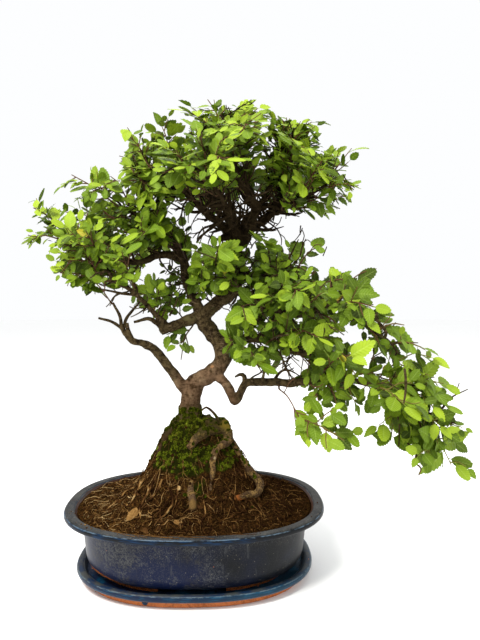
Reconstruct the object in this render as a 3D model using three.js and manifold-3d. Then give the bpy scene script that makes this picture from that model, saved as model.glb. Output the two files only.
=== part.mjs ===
// A Japanese zelkova bonsai in an oval glazed pot on its saucer.
// Millimetres, with X along the pot, +Y to its back and +Z up.
// The origin is the middle of the saucer's underside.
import * as THREE from "three";
import { mergeVertices } from "three/addons/utils/BufferGeometryUtils.js";
import Module from "manifold-3d";

const wasm = await Module();
wasm.setup();

// Pot and saucer: each level section is an oval of this depth for its length, squarer than an ellipse.
const OVAL_DEPTH = 0.8;
const OVAL_POWER = 2.4;
const OVAL_SIDES = 28;
const RIM_REACH = 130;
const RIM_TOP = 68;
const RIM_INNER_REACH = 120;
const BODY_REACH = 112.5;
const BODY_TOP = 55;
const BODY_BOTTOM = 12.6;
const FLOOR_TOP = 17.5;
const FOOT_REACH = 95;
const FOOT_WIDTH = 9;
const FOOT_GAP = 62;
const DRAIN_HOLE_RADIUS = 7;
const DRAIN_HOLE_FROM_MIDDLE = 45;
const SAUCER_REACH = 118.2;
const SAUCER_BAND_REACH = 109.3;
const SAUCER_TOP = 14;
const SAUCER_FLOOR = 7;

// What lies on its neighbour is this clear of it.
const SEAT_GAP = 0.3;
const FINEST_STEP = 0.01;

// Drainage meshes.
const NET_SIDE = 26;
const NET_THICKNESS = 1;
const NET_HOLES_A_SIDE = 2;
const NET_HOLE = 9;

// Soil: the fill's edge at the wall, and the mound under the trunk as pairs of reach and height.
// The mound is rounder than the pot, leans to the right half way up, and its top is left of the middle.
const SOIL_WALL_GAP = 0.6;
const SOIL_EDGE_HEIGHT = 63.3;
const MOUND = [
  [104, 67.6], [84, 73], [68, 80.5], [58, 91], [50, 103], [41, 119], [32, 132.5], [20, 147], [0, 156],
];
const MOUND_EXTRA_DEPTH = 0.18;
const MOUND_LEAN = 3;
const MOUND_TOP_SHIFT = 6;
const MOUND_RELIEF = 1.6;

// Bark and leaves.
const THICK_BOUGH = 6.5;
const THIN_BOUGH = 3;
const ROOT_SIDES = 5;
const TWIG_SIDES = 3;
const TWIG_STEPS = 3;
const TWIG_ROOT_RADIUS = 1.3;
const TWIG_TIP_RADIUS = 0.75;
const TWIG_GAP = 0.35;
const TWIG_ELBOW_SHARE = 0.12;
const TWIG_SQUARENESS = 0.85;
const BARK_SEARCH = 18;
const SEAT_STEP = 0.04;
const SEATS_TRIED = 6;
const FIRST_TWIG_SHARE = 0.25;
const FIRST_FORK_SHARE = 0.3;
const EASY_ANGLE = 45;
const ANGLE_COST = 0.9;
const LEAF_LENGTH = 22;
const LEAF_GROWTH_TO_RIGHT = 1 / 1400;
const SHORTEST_LEAF = 0.88;
const LEAF_LENGTH_RANGE = 0.2;
const END_LEAF_TURN = 0.35;
const LEAF_SPREAD = THREE.MathUtils.degToRad(48);
const LEAF_THICKNESS = 0.62;
const LEAF_STEP = 14;
const LEAF_ROOT_DEPTH = 2.5;
const LEAF_CLEARANCE = 0.3;
const LEAF_ARCH = 0.16;
const LEAF_SKYWARD = 0.6;
const LEAF_SCATTER = 0.9;
const BARE_TWIG_SHARE = 0.25;
const LEAF_ROUNDS = 8;
const LEAF_TURNS = [0, 0.35, -0.35, 0.7, -0.7, 1.1];
const LEAF_SEED = 20240611;
// One half of a leaf's outline, from stalk to tip, as shares of its length: two teeth and a notch.
const LEAF_EDGE = [[0.215, 0.3], [0.19, 0.4], [0.25, 0.58]];

// The tree's axes as points of x, y, z and radius. Each bough starts inside the one it grew from.
const BOUGHS = {
  trunk: [
    [-5, 0, 126, 17], [-6, 0, 140, 14.5], [-6, 0, 156, 11.5], [-6, 0, 171, 10.5], [-2, -1, 184, 10],
    [7, -3, 192, 9], [18, -4, 198, 8.8], [27, -4, 210, 8.6], [27, -2, 223, 8.4], [18, 2, 237, 8.2],
    [8, 4, 251, 8], [3, 6, 261, 6.5],
  ],
  centre_stem: [
    [8, 4, 254, 7], [21, 0, 268, 7], [34, -2, 277, 6.8], [41, 0, 289, 6.8], [42, 4, 304, 7],
    [40, 6, 321, 7.4], [40, 9, 336, 8],
  ],
  left_stem: [
    [6, 5, 255, 6], [-1, 9, 271, 5.8], [-9, 13, 288, 5.6], [-11, 15, 304, 5.2], [-15, 14, 319, 4.6],
    [-25, 10, 336, 3.2], [-39, 5, 348, 2.4], [-56, -2, 357, 1.8], [-77, -8, 364, 1.3],
  ],
  left_level: [
    [-13, 14, 314, 4.2], [-29, 18, 319, 4], [-44, 20, 318, 3.7], [-56, 17, 312, 3.4],
    [-71, 14, 311, 3], [-88, 8, 313, 2.3], [-108, 2, 315, 1.8], [-128, -4, 319, 1.2],
  ],
  left_back: [
    [-13, 16, 315, 3.4], [-27, 34, 330, 3], [-46, 50, 338, 2.5], [-68, 62, 346, 2],
    [-92, 70, 351, 1.3],
  ],
  left_stub: [
    [5, 4, 256, 6.2], [-7, -2, 251, 5.8], [-19, -6, 247, 5.4], [-28, -9, 243, 4.8],
    [-35, -10, 239, 4],
  ],
  dead_snag: [[-29, -9, 242, 3.2], [-38, -14, 249, 2.5], [-46, -16, 253, 2], [-60, -18, 250, 1.2]],
  left_sweep: [
    [-25, -8, 244, 3], [-41, -15, 259, 2.7], [-52, -20, 272, 2.5], [-63, -24, 282, 2.3],
    [-75, -28, 289, 2.1], [-82, -30, 299, 1.9], [-91, -32, 312, 1.5], [-101, -32, 326, 1.1],
  ],
  bare_limb: [
    [-7, 0, 177, 6.5], [-16, -3, 188, 5.8], [-25, -6, 201, 5], [-34, -9, 213, 4.7],
    [-43, -12, 224, 4.4], [-53, -14, 229, 3.8], [-63, -16, 231, 3.2], [-68, -18, 238, 2.6],
    [-72, -18, 245, 2.2],
  ],
  bare_twig_left: [[-71, -18, 243, 1.7], [-81, -20, 250, 1.5], [-94, -22, 254, 1]],
  bare_twig_up: [[-72, -18, 243, 1.9], [-73, -22, 256, 1.7], [-79, -26, 269, 1.1]],
  bare_twig_right: [[-71, -18, 242, 1.7], [-67, -14, 255, 1.5], [-55, -10, 270, 1]],
  bare_knob: [[-61, -16, 230, 2.8], [-65, -20, 240, 2.4], [-66, -22, 249, 1.5]],
  low_bough: [
    [17, -4, 197, 5.4], [27, -10, 191, 5], [34, -14, 183, 4.8], [40, -18, 171, 4.4],
    [46, -20, 181, 4.2], [52, -22, 190, 4.1], [69, -27, 191, 4.1], [96, -38, 192, 4],
    [121, -50, 196, 3.6], [154, -63, 196, 2.9], [184, -73, 188, 2.1], [198, -76, 178, 1.8],
    [212, -79, 170, 1.4], [223, -82, 159, 1],
  ],
  hook: [[50, -21, 187, 2.6], [49, -21, 196, 2.2], [45, -22, 198, 1.7], [40, -24, 196, 1]],
  low_nub: [[118, -49, 195, 2.4], [124, -52, 200, 1.8], [125, -54, 206, 1]],
  right_bough: [
    [24, -2, 226, 5], [36, -12, 231, 4.8], [52, -22, 234, 4.6], [68, -28, 233, 4.3],
    [83, -33, 228, 4], [99, -37, 222, 3.4], [112, -40, 220, 2.6], [126, -43, 222, 1.6],
  ],
  shoulder: [
    [39, -1, 281, 5], [51, -14, 278, 4.8], [61, -24, 272, 4.6], [73, -34, 263, 4.2],
    [86, -43, 259, 3.8], [101, -50, 258, 3.4], [115, -56, 262, 3], [128, -60, 268, 2.6],
    [141, -63, 267, 2.2], [152, -66, 258, 1.9], [165, -69, 243, 1.6], [178, -71, 234, 1.3],
    [188, -72, 222, 0.9],
  ],
  right_twigs: [
    [42, 4, 307, 3.6], [55, -4, 298, 3], [67, -10, 290, 2.6], [77, -14, 289, 2.3],
    [96, -20, 296, 1.6], [108, -22, 297, 1],
  ],
  right_back: [
    [41, 6, 300, 4], [59, 24, 294, 3.5], [79, 42, 287, 3], [102, 56, 281, 2.4], [126, 66, 275, 1.8],
    [150, 72, 266, 1.2],
  ],
  crown_left: [
    [39, 9, 334, 5.4], [29, 3, 346, 4.8], [17, -4, 355, 4.4], [7, -8, 363, 4], [-3, -11, 372, 3.4],
    [-17, -13, 380, 2.6], [-34, -14, 388, 1.9], [-52, -14, 394, 1.2],
  ],
  crown_left_back: [
    [40, 10, 334, 5], [34, 22, 362, 4.4], [21, 32, 377, 3.8], [5, 40, 387, 3.2],
    [-15, 46, 398, 2.6], [-35, 50, 410, 1.9], [-53, 52, 422, 1.2],
  ],
  crown_leader: [
    [42, 9, 332, 6], [55, 5, 344, 5.4], [58, 1, 359, 5], [61, -4, 369, 4.6], [53, -8, 379, 4.2],
    [44, -10, 389, 3.6], [39, -9, 406, 3], [35, -6, 427, 2.4], [31, -3, 447, 1.6],
    [27, 0, 460, 1.1],
  ],
  crown_right: [
    [44, 10, 333, 5.6], [63, 15, 350, 4.8], [76, 18, 362, 4.3], [86, 18, 377, 3.8],
    [89, 15, 393, 3.2], [90, 11, 408, 2.6], [91, 7, 424, 2], [99, 4, 439, 1.3],
  ],
  crown_edge: [
    [68, 16, 354, 3.4], [82, 6, 361, 3], [94, -6, 365, 2.5], [107, -14, 372, 2],
    [122, -20, 380, 1.6], [137, -24, 389, 1.1],
  ],
  crown_right_back: [
    [44, 12, 334, 4.6], [57, 34, 361, 4], [72, 52, 381, 3.4], [88, 64, 398, 2.6],
    [106, 72, 412, 1.8], [122, 76, 424, 1.2],
  ],
  crown_back: [
    [40, 12, 334, 4.4], [33, 42, 366, 3.8], [24, 64, 390, 3], [17, 80, 414, 2.2],
    [10, 88, 434, 1.4],
  ],
  crown_front: [
    [40, 7, 332, 4.2], [38, -14, 349, 3.6], [31, -32, 363, 2.9], [20, -48, 377, 2.2],
    [11, -60, 391, 1.4],
  ],
};

// Surface roots as points of x, y, lift above the mound and radius.
const ROOTS = [
  [[-8, -3, 1, 6], [-19, -7, 1, 4.6], [-30, -9, 0, 3.4], [-39, -12, -1, 2.4], [-47, -17, -2, 1.4]],
  [
    [2, -8, 0, 6], [14, -12, 8, 4.6], [27, -12, 14, 4.2], [30, -20, 7, 3.6], [22, -32, 2, 3],
    [16, -44, -1, 1.8],
  ],
  [[22, -14, 0, 4], [12, -22, 1.6, 4], [-2, -29, 0, 3.4], [-12, -36, -2, 2]],
  [
    [10, -4, 0, 6], [27, -8, 1, 4.6], [43, -12, 1, 4], [60, -14, 3, 3.8], [63, -26, 2, 3.4],
    [46, -40, -2, 1.6],
  ],
  [[-2, 6, 0, 6], [-6, 21, 1, 4.2], [-14, 36, 0.6, 3], [-20, 50, -1.4, 1.8]],
];

// Leafy sprays: by bough, and by spray, the points that its forked twig reaches.
const SPRAYS = {
  crown_leader: [[[-7, -8, 460], [25, 12, 464]], [[63, -6, 464], [49, -62, 427]]],
  crown_right: [[[80, 20, 466], [119, 4, 454]], [[96, -48, 420]]],
  crown_edge: [[[154, -24, 420], [156, -26, 379]], [[129, -2, 359]], [[119, -58, 399]]],
  crown_left: [[[-64, -22, 432]], [[-66, -30, 398], [-41, -36, 370]], [[-13, -72, 404]]],
  crown_left_back: [[[-74, 54, 432]], [[-39, 46, 462], [-26, 76, 419]]],
  crown_front: [[[4, -66, 425], [31, -84, 392]]],
  crown_right_back: [[[146, 70, 424]], [[108, 76, 458], [112, 78, 392]]],
  crown_back: [[[38, 80, 468], [-12, 88, 448]], [[48, 100, 420]]],
  left_stem: [[[-121, -14, 395], [-85, -34, 383]], [[-42, -30, 367]], [[-51, -44, 335]], [[12, -30, 308]]],
  left_level: [[[-160, -8, 363], [-163, -12, 331]], [[-126, 26, 367]], [[-111, -8, 287]]],
  left_back: [[[-114, 76, 380], [-134, 68, 340]], [[-80, 78, 318]]],
  left_sweep: [[[-125, -42, 297], [-116, -48, 338]], [[-64, -58, 315]]],
  left_stub: [[[-49, 20, 282]], [[-14, -14, 212]]],
  centre_stem: [[[24, -56, 321]]],
  right_twigs: [[[65, -44, 330]], [[124, -30, 324]], [[109, 14, 311]]],
  right_back: [[[160, 76, 298], [134, 84, 240]], [[92, 74, 312]]],
  shoulder: [[[44, -62, 265]], [[96, -84, 280]], [[168, -66, 300]], [[190, -78, 249]], [[156, -98, 266]]],
  right_bough: [[[31, -52, 222]], [[63, -70, 206]], [[111, -88, 239]], [[108, -8, 202]]],
  low_bough: [
    [[98, -82, 163], [133, -96, 150]], [[138, -100, 223]], [[181, -70, 143]], [[205, -76, 226]],
    [[222, -88, 198], [225, -82, 160]], [[229, -90, 126], [200, -104, 133]], [[178, -118, 185]],
  ],
  bare_twig_up: [[[-90, -46, 287]]],
};

// Which side of the trunk's middle a leaf turns its face away from.
const CROWN_HEART = new THREE.Vector3(20, 10, 300);

// Materials.
const material = (color, roughness) => new THREE.MeshStandardMaterial({ color, roughness, metalness: 0 });
const NAVY_GLAZE = material(0x1f2f5a, 0.35);
const TEAL_GLAZE = material(0x1d4a78, 0.35);
const SOIL_BROWN = material(0x4a3018, 0.95);
const BARK = material(0x6b5a48, 0.85);
const LEAF_GREEN = material(0x7fae2e, 0.55);
const NET_BLACK = material(0x202020, 0.6);

// A closed geometry as a solid that can be joined and cut, its points set on the finest step that counts.
function solidOf(geometry) {
  const bare = geometry.clone();
  bare.deleteAttribute("normal");
  bare.deleteAttribute("uv");
  const values = bare.attributes.position.array;
  for (let i = 0; i < values.length; i++) values[i] = Math.round(values[i] / FINEST_STEP) * FINEST_STEP;
  const merged = mergeVertices(bare, FINEST_STEP / 4);
  const corners = merged.index.array;
  const faces = [];
  for (let i = 0; i < corners.length; i += 3) {
    const [a, b, c] = corners.slice(i, i + 3);
    if (a !== b && b !== c && c !== a) faces.push(a, b, c);
  }
  const vertProperties = merged.attributes.position.array;
  return new wasm.Manifold(new wasm.Mesh({ numProp: 3, vertProperties, triVerts: new Uint32Array(faces) }));
}

// A solid's largest body, which leaves out loose scraps and sealed hollows.
function largestBody(solid) {
  return solid.decompose().reduce((most, body) => (body.volume() > most.volume() ? body : most));
}

// A solid as a geometry.
function geometryOf(solid) {
  const bodyGeometry = (body) => {
    const mesh = body.getMesh();
    const geometry = new THREE.BufferGeometry();
    geometry.setAttribute("position", new THREE.BufferAttribute(mesh.vertProperties, 3));
    return geometry.setIndex(new THREE.BufferAttribute(mesh.triVerts, 1));
  };
  const snapped = solidOf(bodyGeometry(largestBody(solid)));
  const geometry = bodyGeometry(largestBody(snapped));
  geometry.computeVertexNormals();
  return geometry;
}

// Whether two solids share any space.
function meets(one, other) {
  return !one.intersect(other).isEmpty();
}

// Whether the boxes round two solids come within the seat gap of each other.
function near(one, other) {
  const a = one.boundingBox();
  const b = other.boundingBox();
  return [0, 1, 2].every((k) => a.min[k] < b.max[k] + SEAT_GAP && b.min[k] < a.max[k] + SEAT_GAP);
}

// The same draws each time, evenly from 0 to 1.
function seededDraws(seed) {
  let state = seed;
  return () => {
    state = (state + 0x6d2b79f5) | 0;
    let mixed = Math.imul(state ^ (state >>> 15), 1 | state);
    mixed = (mixed + Math.imul(mixed ^ (mixed >>> 7), 61 | mixed)) ^ mixed;
    return ((mixed ^ (mixed >>> 14)) >>> 0) / 4294967296;
  };
}

// A profile of reach and height turned into an oval form, whose depth and middle may change with reach.
function ovalTurned(points, depthAt = () => OVAL_DEPTH, middleAt = () => 0) {
  const geometry = new THREE.LatheGeometry(points, OVAL_SIDES);
  const position = geometry.attributes.position;
  const squeezed = (value) => Math.sign(value) * Math.abs(value) ** (2 / OVAL_POWER);
  for (let i = 0; i < position.count; i++) {
    const x = position.getX(i);
    const height = position.getY(i);
    const z = position.getZ(i);
    const reach = Math.hypot(x, z);
    const angle = Math.atan2(z, x);
    const clean = (value) => (Math.abs(value) < 1e-9 ? 0 : value);
    const across = squeezed(clean(Math.cos(angle))) * reach + middleAt(reach, height);
    const back = -squeezed(clean(Math.sin(angle))) * reach * depthAt(reach, height);
    position.setXYZ(i, across, back, height);
  }
  return geometry;
}

// The smooth line through points of x, y, z and radius.
function curveThrough(points) {
  const centres = points.map(([x, y, z]) => new THREE.Vector3(x, y, z));
  return new THREE.CatmullRomCurve3(centres, false, "catmullrom");
}

// The straight runs between the rings of a stem: what grows on the stem is rooted on them.
function axisOf(points, steps) {
  const centres = curveThrough(points).getPoints(steps);
  const runOf = (share) => Math.min(Math.floor(share * steps), steps - 1);
  const ends = (run) => [centres[run].clone(), centres[run + 1]];
  return {
    length: centres.slice(1).reduce((sum, centre, k) => sum + centre.distanceTo(centres[k]), 0),
    pointAt: (share) => {
      const [from, to] = ends(runOf(share));
      return from.lerp(to, share * steps - runOf(share));
    },
    tangentAt: (share) => {
      const [from, to] = ends(runOf(share));
      return to.clone().sub(from).normalize();
    },
  };
}

// A round stem along a smooth line through points of x, y, z and radius, closed at both ends.
function stem(points, sides, steps, extra = 0) {
  const line = curveThrough(points);
  const geometry = new THREE.CylinderGeometry(1, 1, 1, sides, steps);
  const position = geometry.attributes.position;
  const frames = Array.from({ length: steps + 1 }, (_, i) => line.getTangent(i / steps));
  const normals = [new THREE.Vector3(frames[0].z, 0.3, -frames[0].x).cross(frames[0]).normalize()];
  for (let i = 1; i <= steps; i++) {
    const last = normals[i - 1];
    normals.push(last.clone().addScaledVector(frames[i], -last.dot(frames[i])).normalize());
  }
  for (let i = 0; i < position.count; i++) {
    const share = THREE.MathUtils.clamp(position.getY(i) + 0.5, 0, 1);
    const step = Math.round(share * steps);
    const along = share * (points.length - 1);
    const before = Math.min(Math.floor(along), points.length - 2);
    const radius = THREE.MathUtils.lerp(points[before][3], points[before + 1][3], along - before) + extra;
    const binormal = normals[step].clone().cross(frames[step]);
    const point = line
      .getPoint(share)
      .addScaledVector(normals[step], position.getX(i) * radius)
      .addScaledVector(binormal, position.getZ(i) * radius);
    if (step === 0) point.addScaledVector(frames[0], -extra);
    if (step === steps) point.addScaledVector(frames[steps], extra);
    position.setXYZ(i, point.x, point.y, point.z);
  }
  return solidOf(geometry);
}

// A leaf's blade with its stalk end at the origin, along +Y and facing +Z. It arches down to its tip.
function blade(length, thickness, grow = 0) {
  const edge = LEAF_EDGE.map(([x, y]) => [x * length + grow, y * length]);
  const tip = [0, length + grow];
  const outline = [[0, 0], ...edge, tip, ...edge.map(([x, y]) => [-x, y]).reverse()];
  const upper = [];
  const lower = [];
  for (const [x, y] of outline) {
    const rise = -LEAF_ARCH * length * (y / length) ** 2;
    upper.push(x, y, rise + thickness / 2);
    lower.push(x, y, rise - thickness / 2);
  }
  const count = outline.length;
  const lid = [[0, 1, count - 1]];
  for (let k = 1; k < count / 2 - 1; k++) {
    const opposite = count - k;
    lid.push([k, k + 1, opposite - 1], [k, opposite - 1, opposite]);
  }
  lid.push([count / 2 - 1, count / 2, count / 2 + 1]);
  const faces = lid.concat(lid.map((corners) => corners.map((k) => k + count).reverse()));
  for (let k = 0; k < count; k++) {
    const next = (k + 1) % count;
    faces.push([k, k + count, next + count], [k, next + count, next]);
  }
  const geometry = new THREE.BufferGeometry();
  geometry.setAttribute("position", new THREE.Float32BufferAttribute([...upper, ...lower], 3));
  geometry.setIndex(faces.flat());
  return geometry;
}

// Moves a shape from the origin to a point, its +Y along one direction and its +Z nearly along another.
function placed(geometry, point, along, face) {
  const right = along.clone().cross(face).normalize();
  const up = right.clone().cross(along);
  return geometry.applyMatrix4(new THREE.Matrix4().makeBasis(right, along, up).setPosition(point));
}

// The saucer's profile: flat underside, bare band, rolled rim and flat floor.
function saucer() {
  const profile = new THREE.Path()
    .moveTo(0, 0)
    .lineTo(SAUCER_BAND_REACH - 2, 0)
    .lineTo(SAUCER_BAND_REACH, 1.2)
    .lineTo(SAUCER_BAND_REACH, 5.4)
    .lineTo(SAUCER_BAND_REACH + 4, 6.6)
    .quadraticCurveTo(SAUCER_REACH, 7, SAUCER_REACH, 10.8)
    .quadraticCurveTo(SAUCER_REACH, SAUCER_TOP, SAUCER_REACH - 4, SAUCER_TOP)
    .quadraticCurveTo(SAUCER_REACH - 8, SAUCER_TOP, SAUCER_REACH - 9.6, 9)
    .lineTo(SAUCER_REACH - 13, SAUCER_FLOOR)
    .lineTo(0, SAUCER_FLOOR);
  return ovalTurned(profile.getPoints(2));
}

// The pot: a foot ring with a gap at front and back, a full body, a drawn-in neck and a flat rim.
function pot() {
  const foot = SAUCER_FLOOR + SEAT_GAP;
  const profile = new THREE.Path()
    .moveTo(0, BODY_BOTTOM)
    .lineTo(FOOT_REACH - FOOT_WIDTH, BODY_BOTTOM)
    .lineTo(FOOT_REACH - FOOT_WIDTH, foot)
    .lineTo(FOOT_REACH, foot)
    .lineTo(FOOT_REACH + 1, BODY_BOTTOM - 0.6)
    .lineTo(FOOT_REACH + 4, BODY_BOTTOM)
    .quadraticCurveTo(BODY_REACH - 4.5, 14.5, BODY_REACH - 3, 26)
    .lineTo(BODY_REACH, BODY_TOP)
    .quadraticCurveTo(BODY_REACH + 1, 61, RIM_REACH - 6, 61.6)
    .lineTo(RIM_REACH - 1.2, 62)
    .quadraticCurveTo(RIM_REACH + 1.4, 67.8, RIM_REACH - 4, RIM_TOP)
    .lineTo(RIM_INNER_REACH, RIM_TOP)
    .lineTo(RIM_INNER_REACH - 3, 64)
    .lineTo(RIM_INNER_REACH - 13, BODY_TOP)
    .lineTo(BODY_REACH - 7.5, 24)
    .lineTo(BODY_REACH - 14.5, FLOOR_TOP)
    .lineTo(0, FLOOR_TOP);
  const body = solidOf(ovalTurned(profile.getPoints(2)));
  const gap = new THREE.BoxGeometry(FOOT_GAP, 2 * RIM_REACH, 2 * (BODY_BOTTOM - SEAT_GAP - foot));
  const holes = [-1, 1].map((side) =>
    new THREE.CylinderGeometry(DRAIN_HOLE_RADIUS, DRAIN_HOLE_RADIUS, 2 * FLOOR_TOP, 12)
      .rotateX(Math.PI / 2)
      .translate(side * DRAIN_HOLE_FROM_MIDDLE, 0, FLOOR_TOP),
  );
  const cuts = [gap.translate(0, 0, foot), ...holes].map(solidOf);
  return cuts.reduce((left, cut) => left.subtract(cut), body);
}

// A square net of square holes, over one drainage hole.
function drainageNet(side) {
  const pitch = NET_SIDE / NET_HOLES_A_SIDE;
  const block = (width, height, x, y) =>
    solidOf(new THREE.BoxGeometry(width, width, height).translate(x, y, 0));
  let net = block(NET_SIDE, NET_THICKNESS, 0, 0);
  for (let row = 0; row < NET_HOLES_A_SIDE; row++) {
    for (let column = 0; column < NET_HOLES_A_SIDE; column++) {
      const x = (column + 0.5) * pitch - NET_SIDE / 2;
      const y = (row + 0.5) * pitch - NET_SIDE / 2;
      net = net.subtract(block(NET_HOLE, 2 * NET_THICKNESS, x, y));
    }
  }
  const lift = FLOOR_TOP + SEAT_GAP + NET_THICKNESS / 2;
  return geometryOf(net).translate(side * DRAIN_HOLE_FROM_MIDDLE, 0, lift);
}

// The soil's fill and mound: the section's depth, middle and relief change from the rim to the mound.
function mounded() {
  const edge = new THREE.Vector2(RIM_INNER_REACH - 3.6 - SOIL_WALL_GAP, SOIL_EDGE_HEIGHT);
  const floor = FLOOR_TOP + SEAT_GAP;
  const fill = [
    new THREE.Vector2(0, floor),
    new THREE.Vector2(BODY_REACH - 14.5 - SOIL_WALL_GAP, floor + 0.1),
    new THREE.Vector2(BODY_REACH - 7.5 - SOIL_WALL_GAP, 24.2),
    new THREE.Vector2(RIM_INNER_REACH - 13 - SOIL_WALL_GAP, BODY_TOP - 0.2),
    edge,
  ];
  const profile = fill.concat(MOUND.map(([reach, height]) => new THREE.Vector2(reach, height)));
  const onMound = (reach, height) => (height > SOIL_EDGE_HEIGHT ? 1 - reach / edge.x : 0);
  const depthAt = (reach, height) => OVAL_DEPTH + MOUND_EXTRA_DEPTH * onMound(reach, height);
  const middleAt = (reach, height) => {
    const share = onMound(reach, height);
    return MOUND_LEAN * Math.sin(Math.PI * share) - MOUND_TOP_SHIFT * share ** 4;
  };
  const geometry = ovalTurned(profile, depthAt, middleAt);
  const position = geometry.attributes.position;
  for (let i = 0; i < position.count; i++) {
    const height = position.getZ(i);
    const share = onMound(Math.hypot(position.getX(i), position.getY(i)), height);
    const angle = Math.atan2(position.getY(i), position.getX(i));
    const waves = Math.sin(3 * angle + 7 * share) + Math.sin(5 * angle - 11 * share);
    const fade = Math.sin(Math.PI * THREE.MathUtils.clamp(share, 0, 1));
    position.setZ(i, height + MOUND_RELIEF * waves * fade);
  }
  return solidOf(geometry);
}

const soilBody = mounded();
const soilMesh = new THREE.Mesh(geometryOf(soilBody));

// The height of the soil under a point.
function soilTop(x, y) {
  const ray = new THREE.Raycaster(new THREE.Vector3(x, y, 3 * RIM_REACH), new THREE.Vector3(0, 0, -1));
  return ray.intersectObject(soilMesh)[0].point.z;
}

// The sides of a bough, which is rounder the thicker it starts.
function sidesOf(points) {
  const radius = points[0][3];
  if (radius > THICK_BOUGH) return 7;
  return radius > THIN_BOUGH ? 5 : 4;
}

// Bark: one stem for each bough and root, fused.
const rootPaths = ROOTS.map((root) =>
  root.map(([x, y, lift, radius]) => [x, y, soilTop(x, y) + lift, radius]),
);
const stepsOf = (points) => points.length - 1;
const boughSolids = Object.values(BOUGHS).map((points) => stem(points, sidesOf(points), stepsOf(points)));
const rootSolids = rootPaths.map((points) => stem(points, ROOT_SIDES, stepsOf(points)));
const tree = wasm.Manifold.union([...boughSolids, ...rootSolids]);
const treeMesh = new THREE.Mesh(geometryOf(tree));

// The room that the trunk's foot and the roots take in the soil.
const trunkFoot = BOUGHS.trunk.slice(0, 4);
const footRoom = wasm.Manifold.union([
  stem(trunkFoot, sidesOf(trunkFoot), trunkFoot.length, 2 * SEAT_GAP),
  ...rootPaths.map((points) => stem(points, ROOT_SIDES, stepsOf(points), 1.5 * SEAT_GAP)),
]);

// The soil with its holes for the tree's foot and its shallow seats for the nets.
function soil() {
  const seatSide = NET_SIDE + 4 * SEAT_GAP;
  const seatDepth = NET_THICKNESS + 2 * SEAT_GAP;
  const seats = [-1, 1].map((side) => {
    const seat = new THREE.BoxGeometry(seatSide, seatSide, 2 * seatDepth);
    return solidOf(seat.translate(side * DRAIN_HOLE_FROM_MIDDLE, 0, FLOOR_TOP));
  });
  return [footRoom, ...seats].reduce((left, cut) => left.subtract(cut), soilBody);
}

// Places on a bough where a twig to a target may grow. The best come first: near, and at an easy angle.
function seatsFor(axis, target, from) {
  const seats = [];
  for (let share = from; share <= 1; share += SEAT_STEP) {
    const point = axis.pointAt(share);
    const reach = target.clone().sub(point);
    const angle = THREE.MathUtils.radToDeg(reach.angleTo(axis.tangentAt(share)));
    seats.push({ share, point, cost: reach.length() + ANGLE_COST * Math.abs(angle - EASY_ANGLE) });
  }
  return seats.sort((one, other) => one.cost - other.cost).slice(0, SEATS_TRIED);
}

// Where a straight line in towards the bark first meets it.
function barkAlong(point, outward, reach) {
  const start = point.clone().addScaledVector(outward, reach);
  const hits = new THREE.Raycaster(start, outward.clone().negate(), 0, reach).intersectObject(treeMesh);
  return hits.length ? reach - hits[0].distance : 0;
}

// How far out from a seat on a bough's axis a twig starts, just clear of the bark on all its sides.
function barkReach(seat, outward) {
  const starts = [seat];
  for (const angle of [0, 1.6, 3.2, 4.8]) {
    const sideways = new THREE.Vector3(Math.sin(angle), Math.cos(angle), 0.4).cross(outward).normalize();
    starts.push(seat.clone().addScaledVector(sideways, TWIG_ROOT_RADIUS));
  }
  return Math.max(...starts.map((start) => barkAlong(start, outward, BARK_SEARCH))) + TWIG_GAP;
}

// The points of a twig from a bough or twig to its tip, with its middle moved aside by a bend.
function twigPoints(seat, tangent, target, onBark, bend) {
  const reach = target.clone().sub(seat);
  const aside = reach.clone().addScaledVector(tangent, -TWIG_SQUARENESS * reach.dot(tangent));
  const outward = (aside.length() < 0.35 * reach.length() ? reach : aside).clone().normalize();
  const start = seat.clone().addScaledVector(outward, onBark ? barkReach(seat, outward) : 0);
  const elbow = start.clone().addScaledVector(outward, TWIG_ELBOW_SHARE * reach.length());
  const middle = elbow.clone().lerp(target, 0.5).addScaledVector(bend, reach.length());
  const radius = (share) => THREE.MathUtils.lerp(TWIG_ROOT_RADIUS, TWIG_TIP_RADIUS, share);
  return [start, elbow, middle, target].map((point, k) => [point.x, point.y, point.z, radius(k / 3)]);
}

// The bends a twig may take, tried in turn until it is clear of everything else.
const BENDS = [
  [0, 0, 0.1], [0, 0, -0.08], [0.12, 0, 0.05], [-0.12, 0, 0.05], [0, 0.14, 0.04], [0, -0.14, 0.04],
  [0, 0, 0.24], [0.24, 0, 0.1], [-0.24, 0, 0.1], [0, 0.28, 0.08], [0, -0.28, 0.08], [0, 0, -0.24],
];

// Whether a twig, and the room round it, is clear of the bark and of the sprays made before it.
function twigIsClear(points) {
  const room = stem(points, TWIG_SIDES, TWIG_STEPS, SEAT_GAP);
  if (meets(stem(points, TWIG_SIDES, TWIG_STEPS), tree)) return false;
  return !sprays.some((spray) => spray.solids.some((other) => near(room, other) && meets(room, other)));
}

// A clear twig from a bough, or from a spray's first twig, to a target.
// There is none where every seat and bend meets something.
function twigTo(target, parent, fromShare, onBark) {
  for (const seat of seatsFor(parent, target, fromShare)) {
    for (const bend of BENDS) {
      const tangent = parent.tangentAt(seat.share);
      const points = twigPoints(seat.point, tangent, target, onBark, new THREE.Vector3(...bend));
      if (twigIsClear(points)) return points;
    }
  }
  return null;
}

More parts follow.
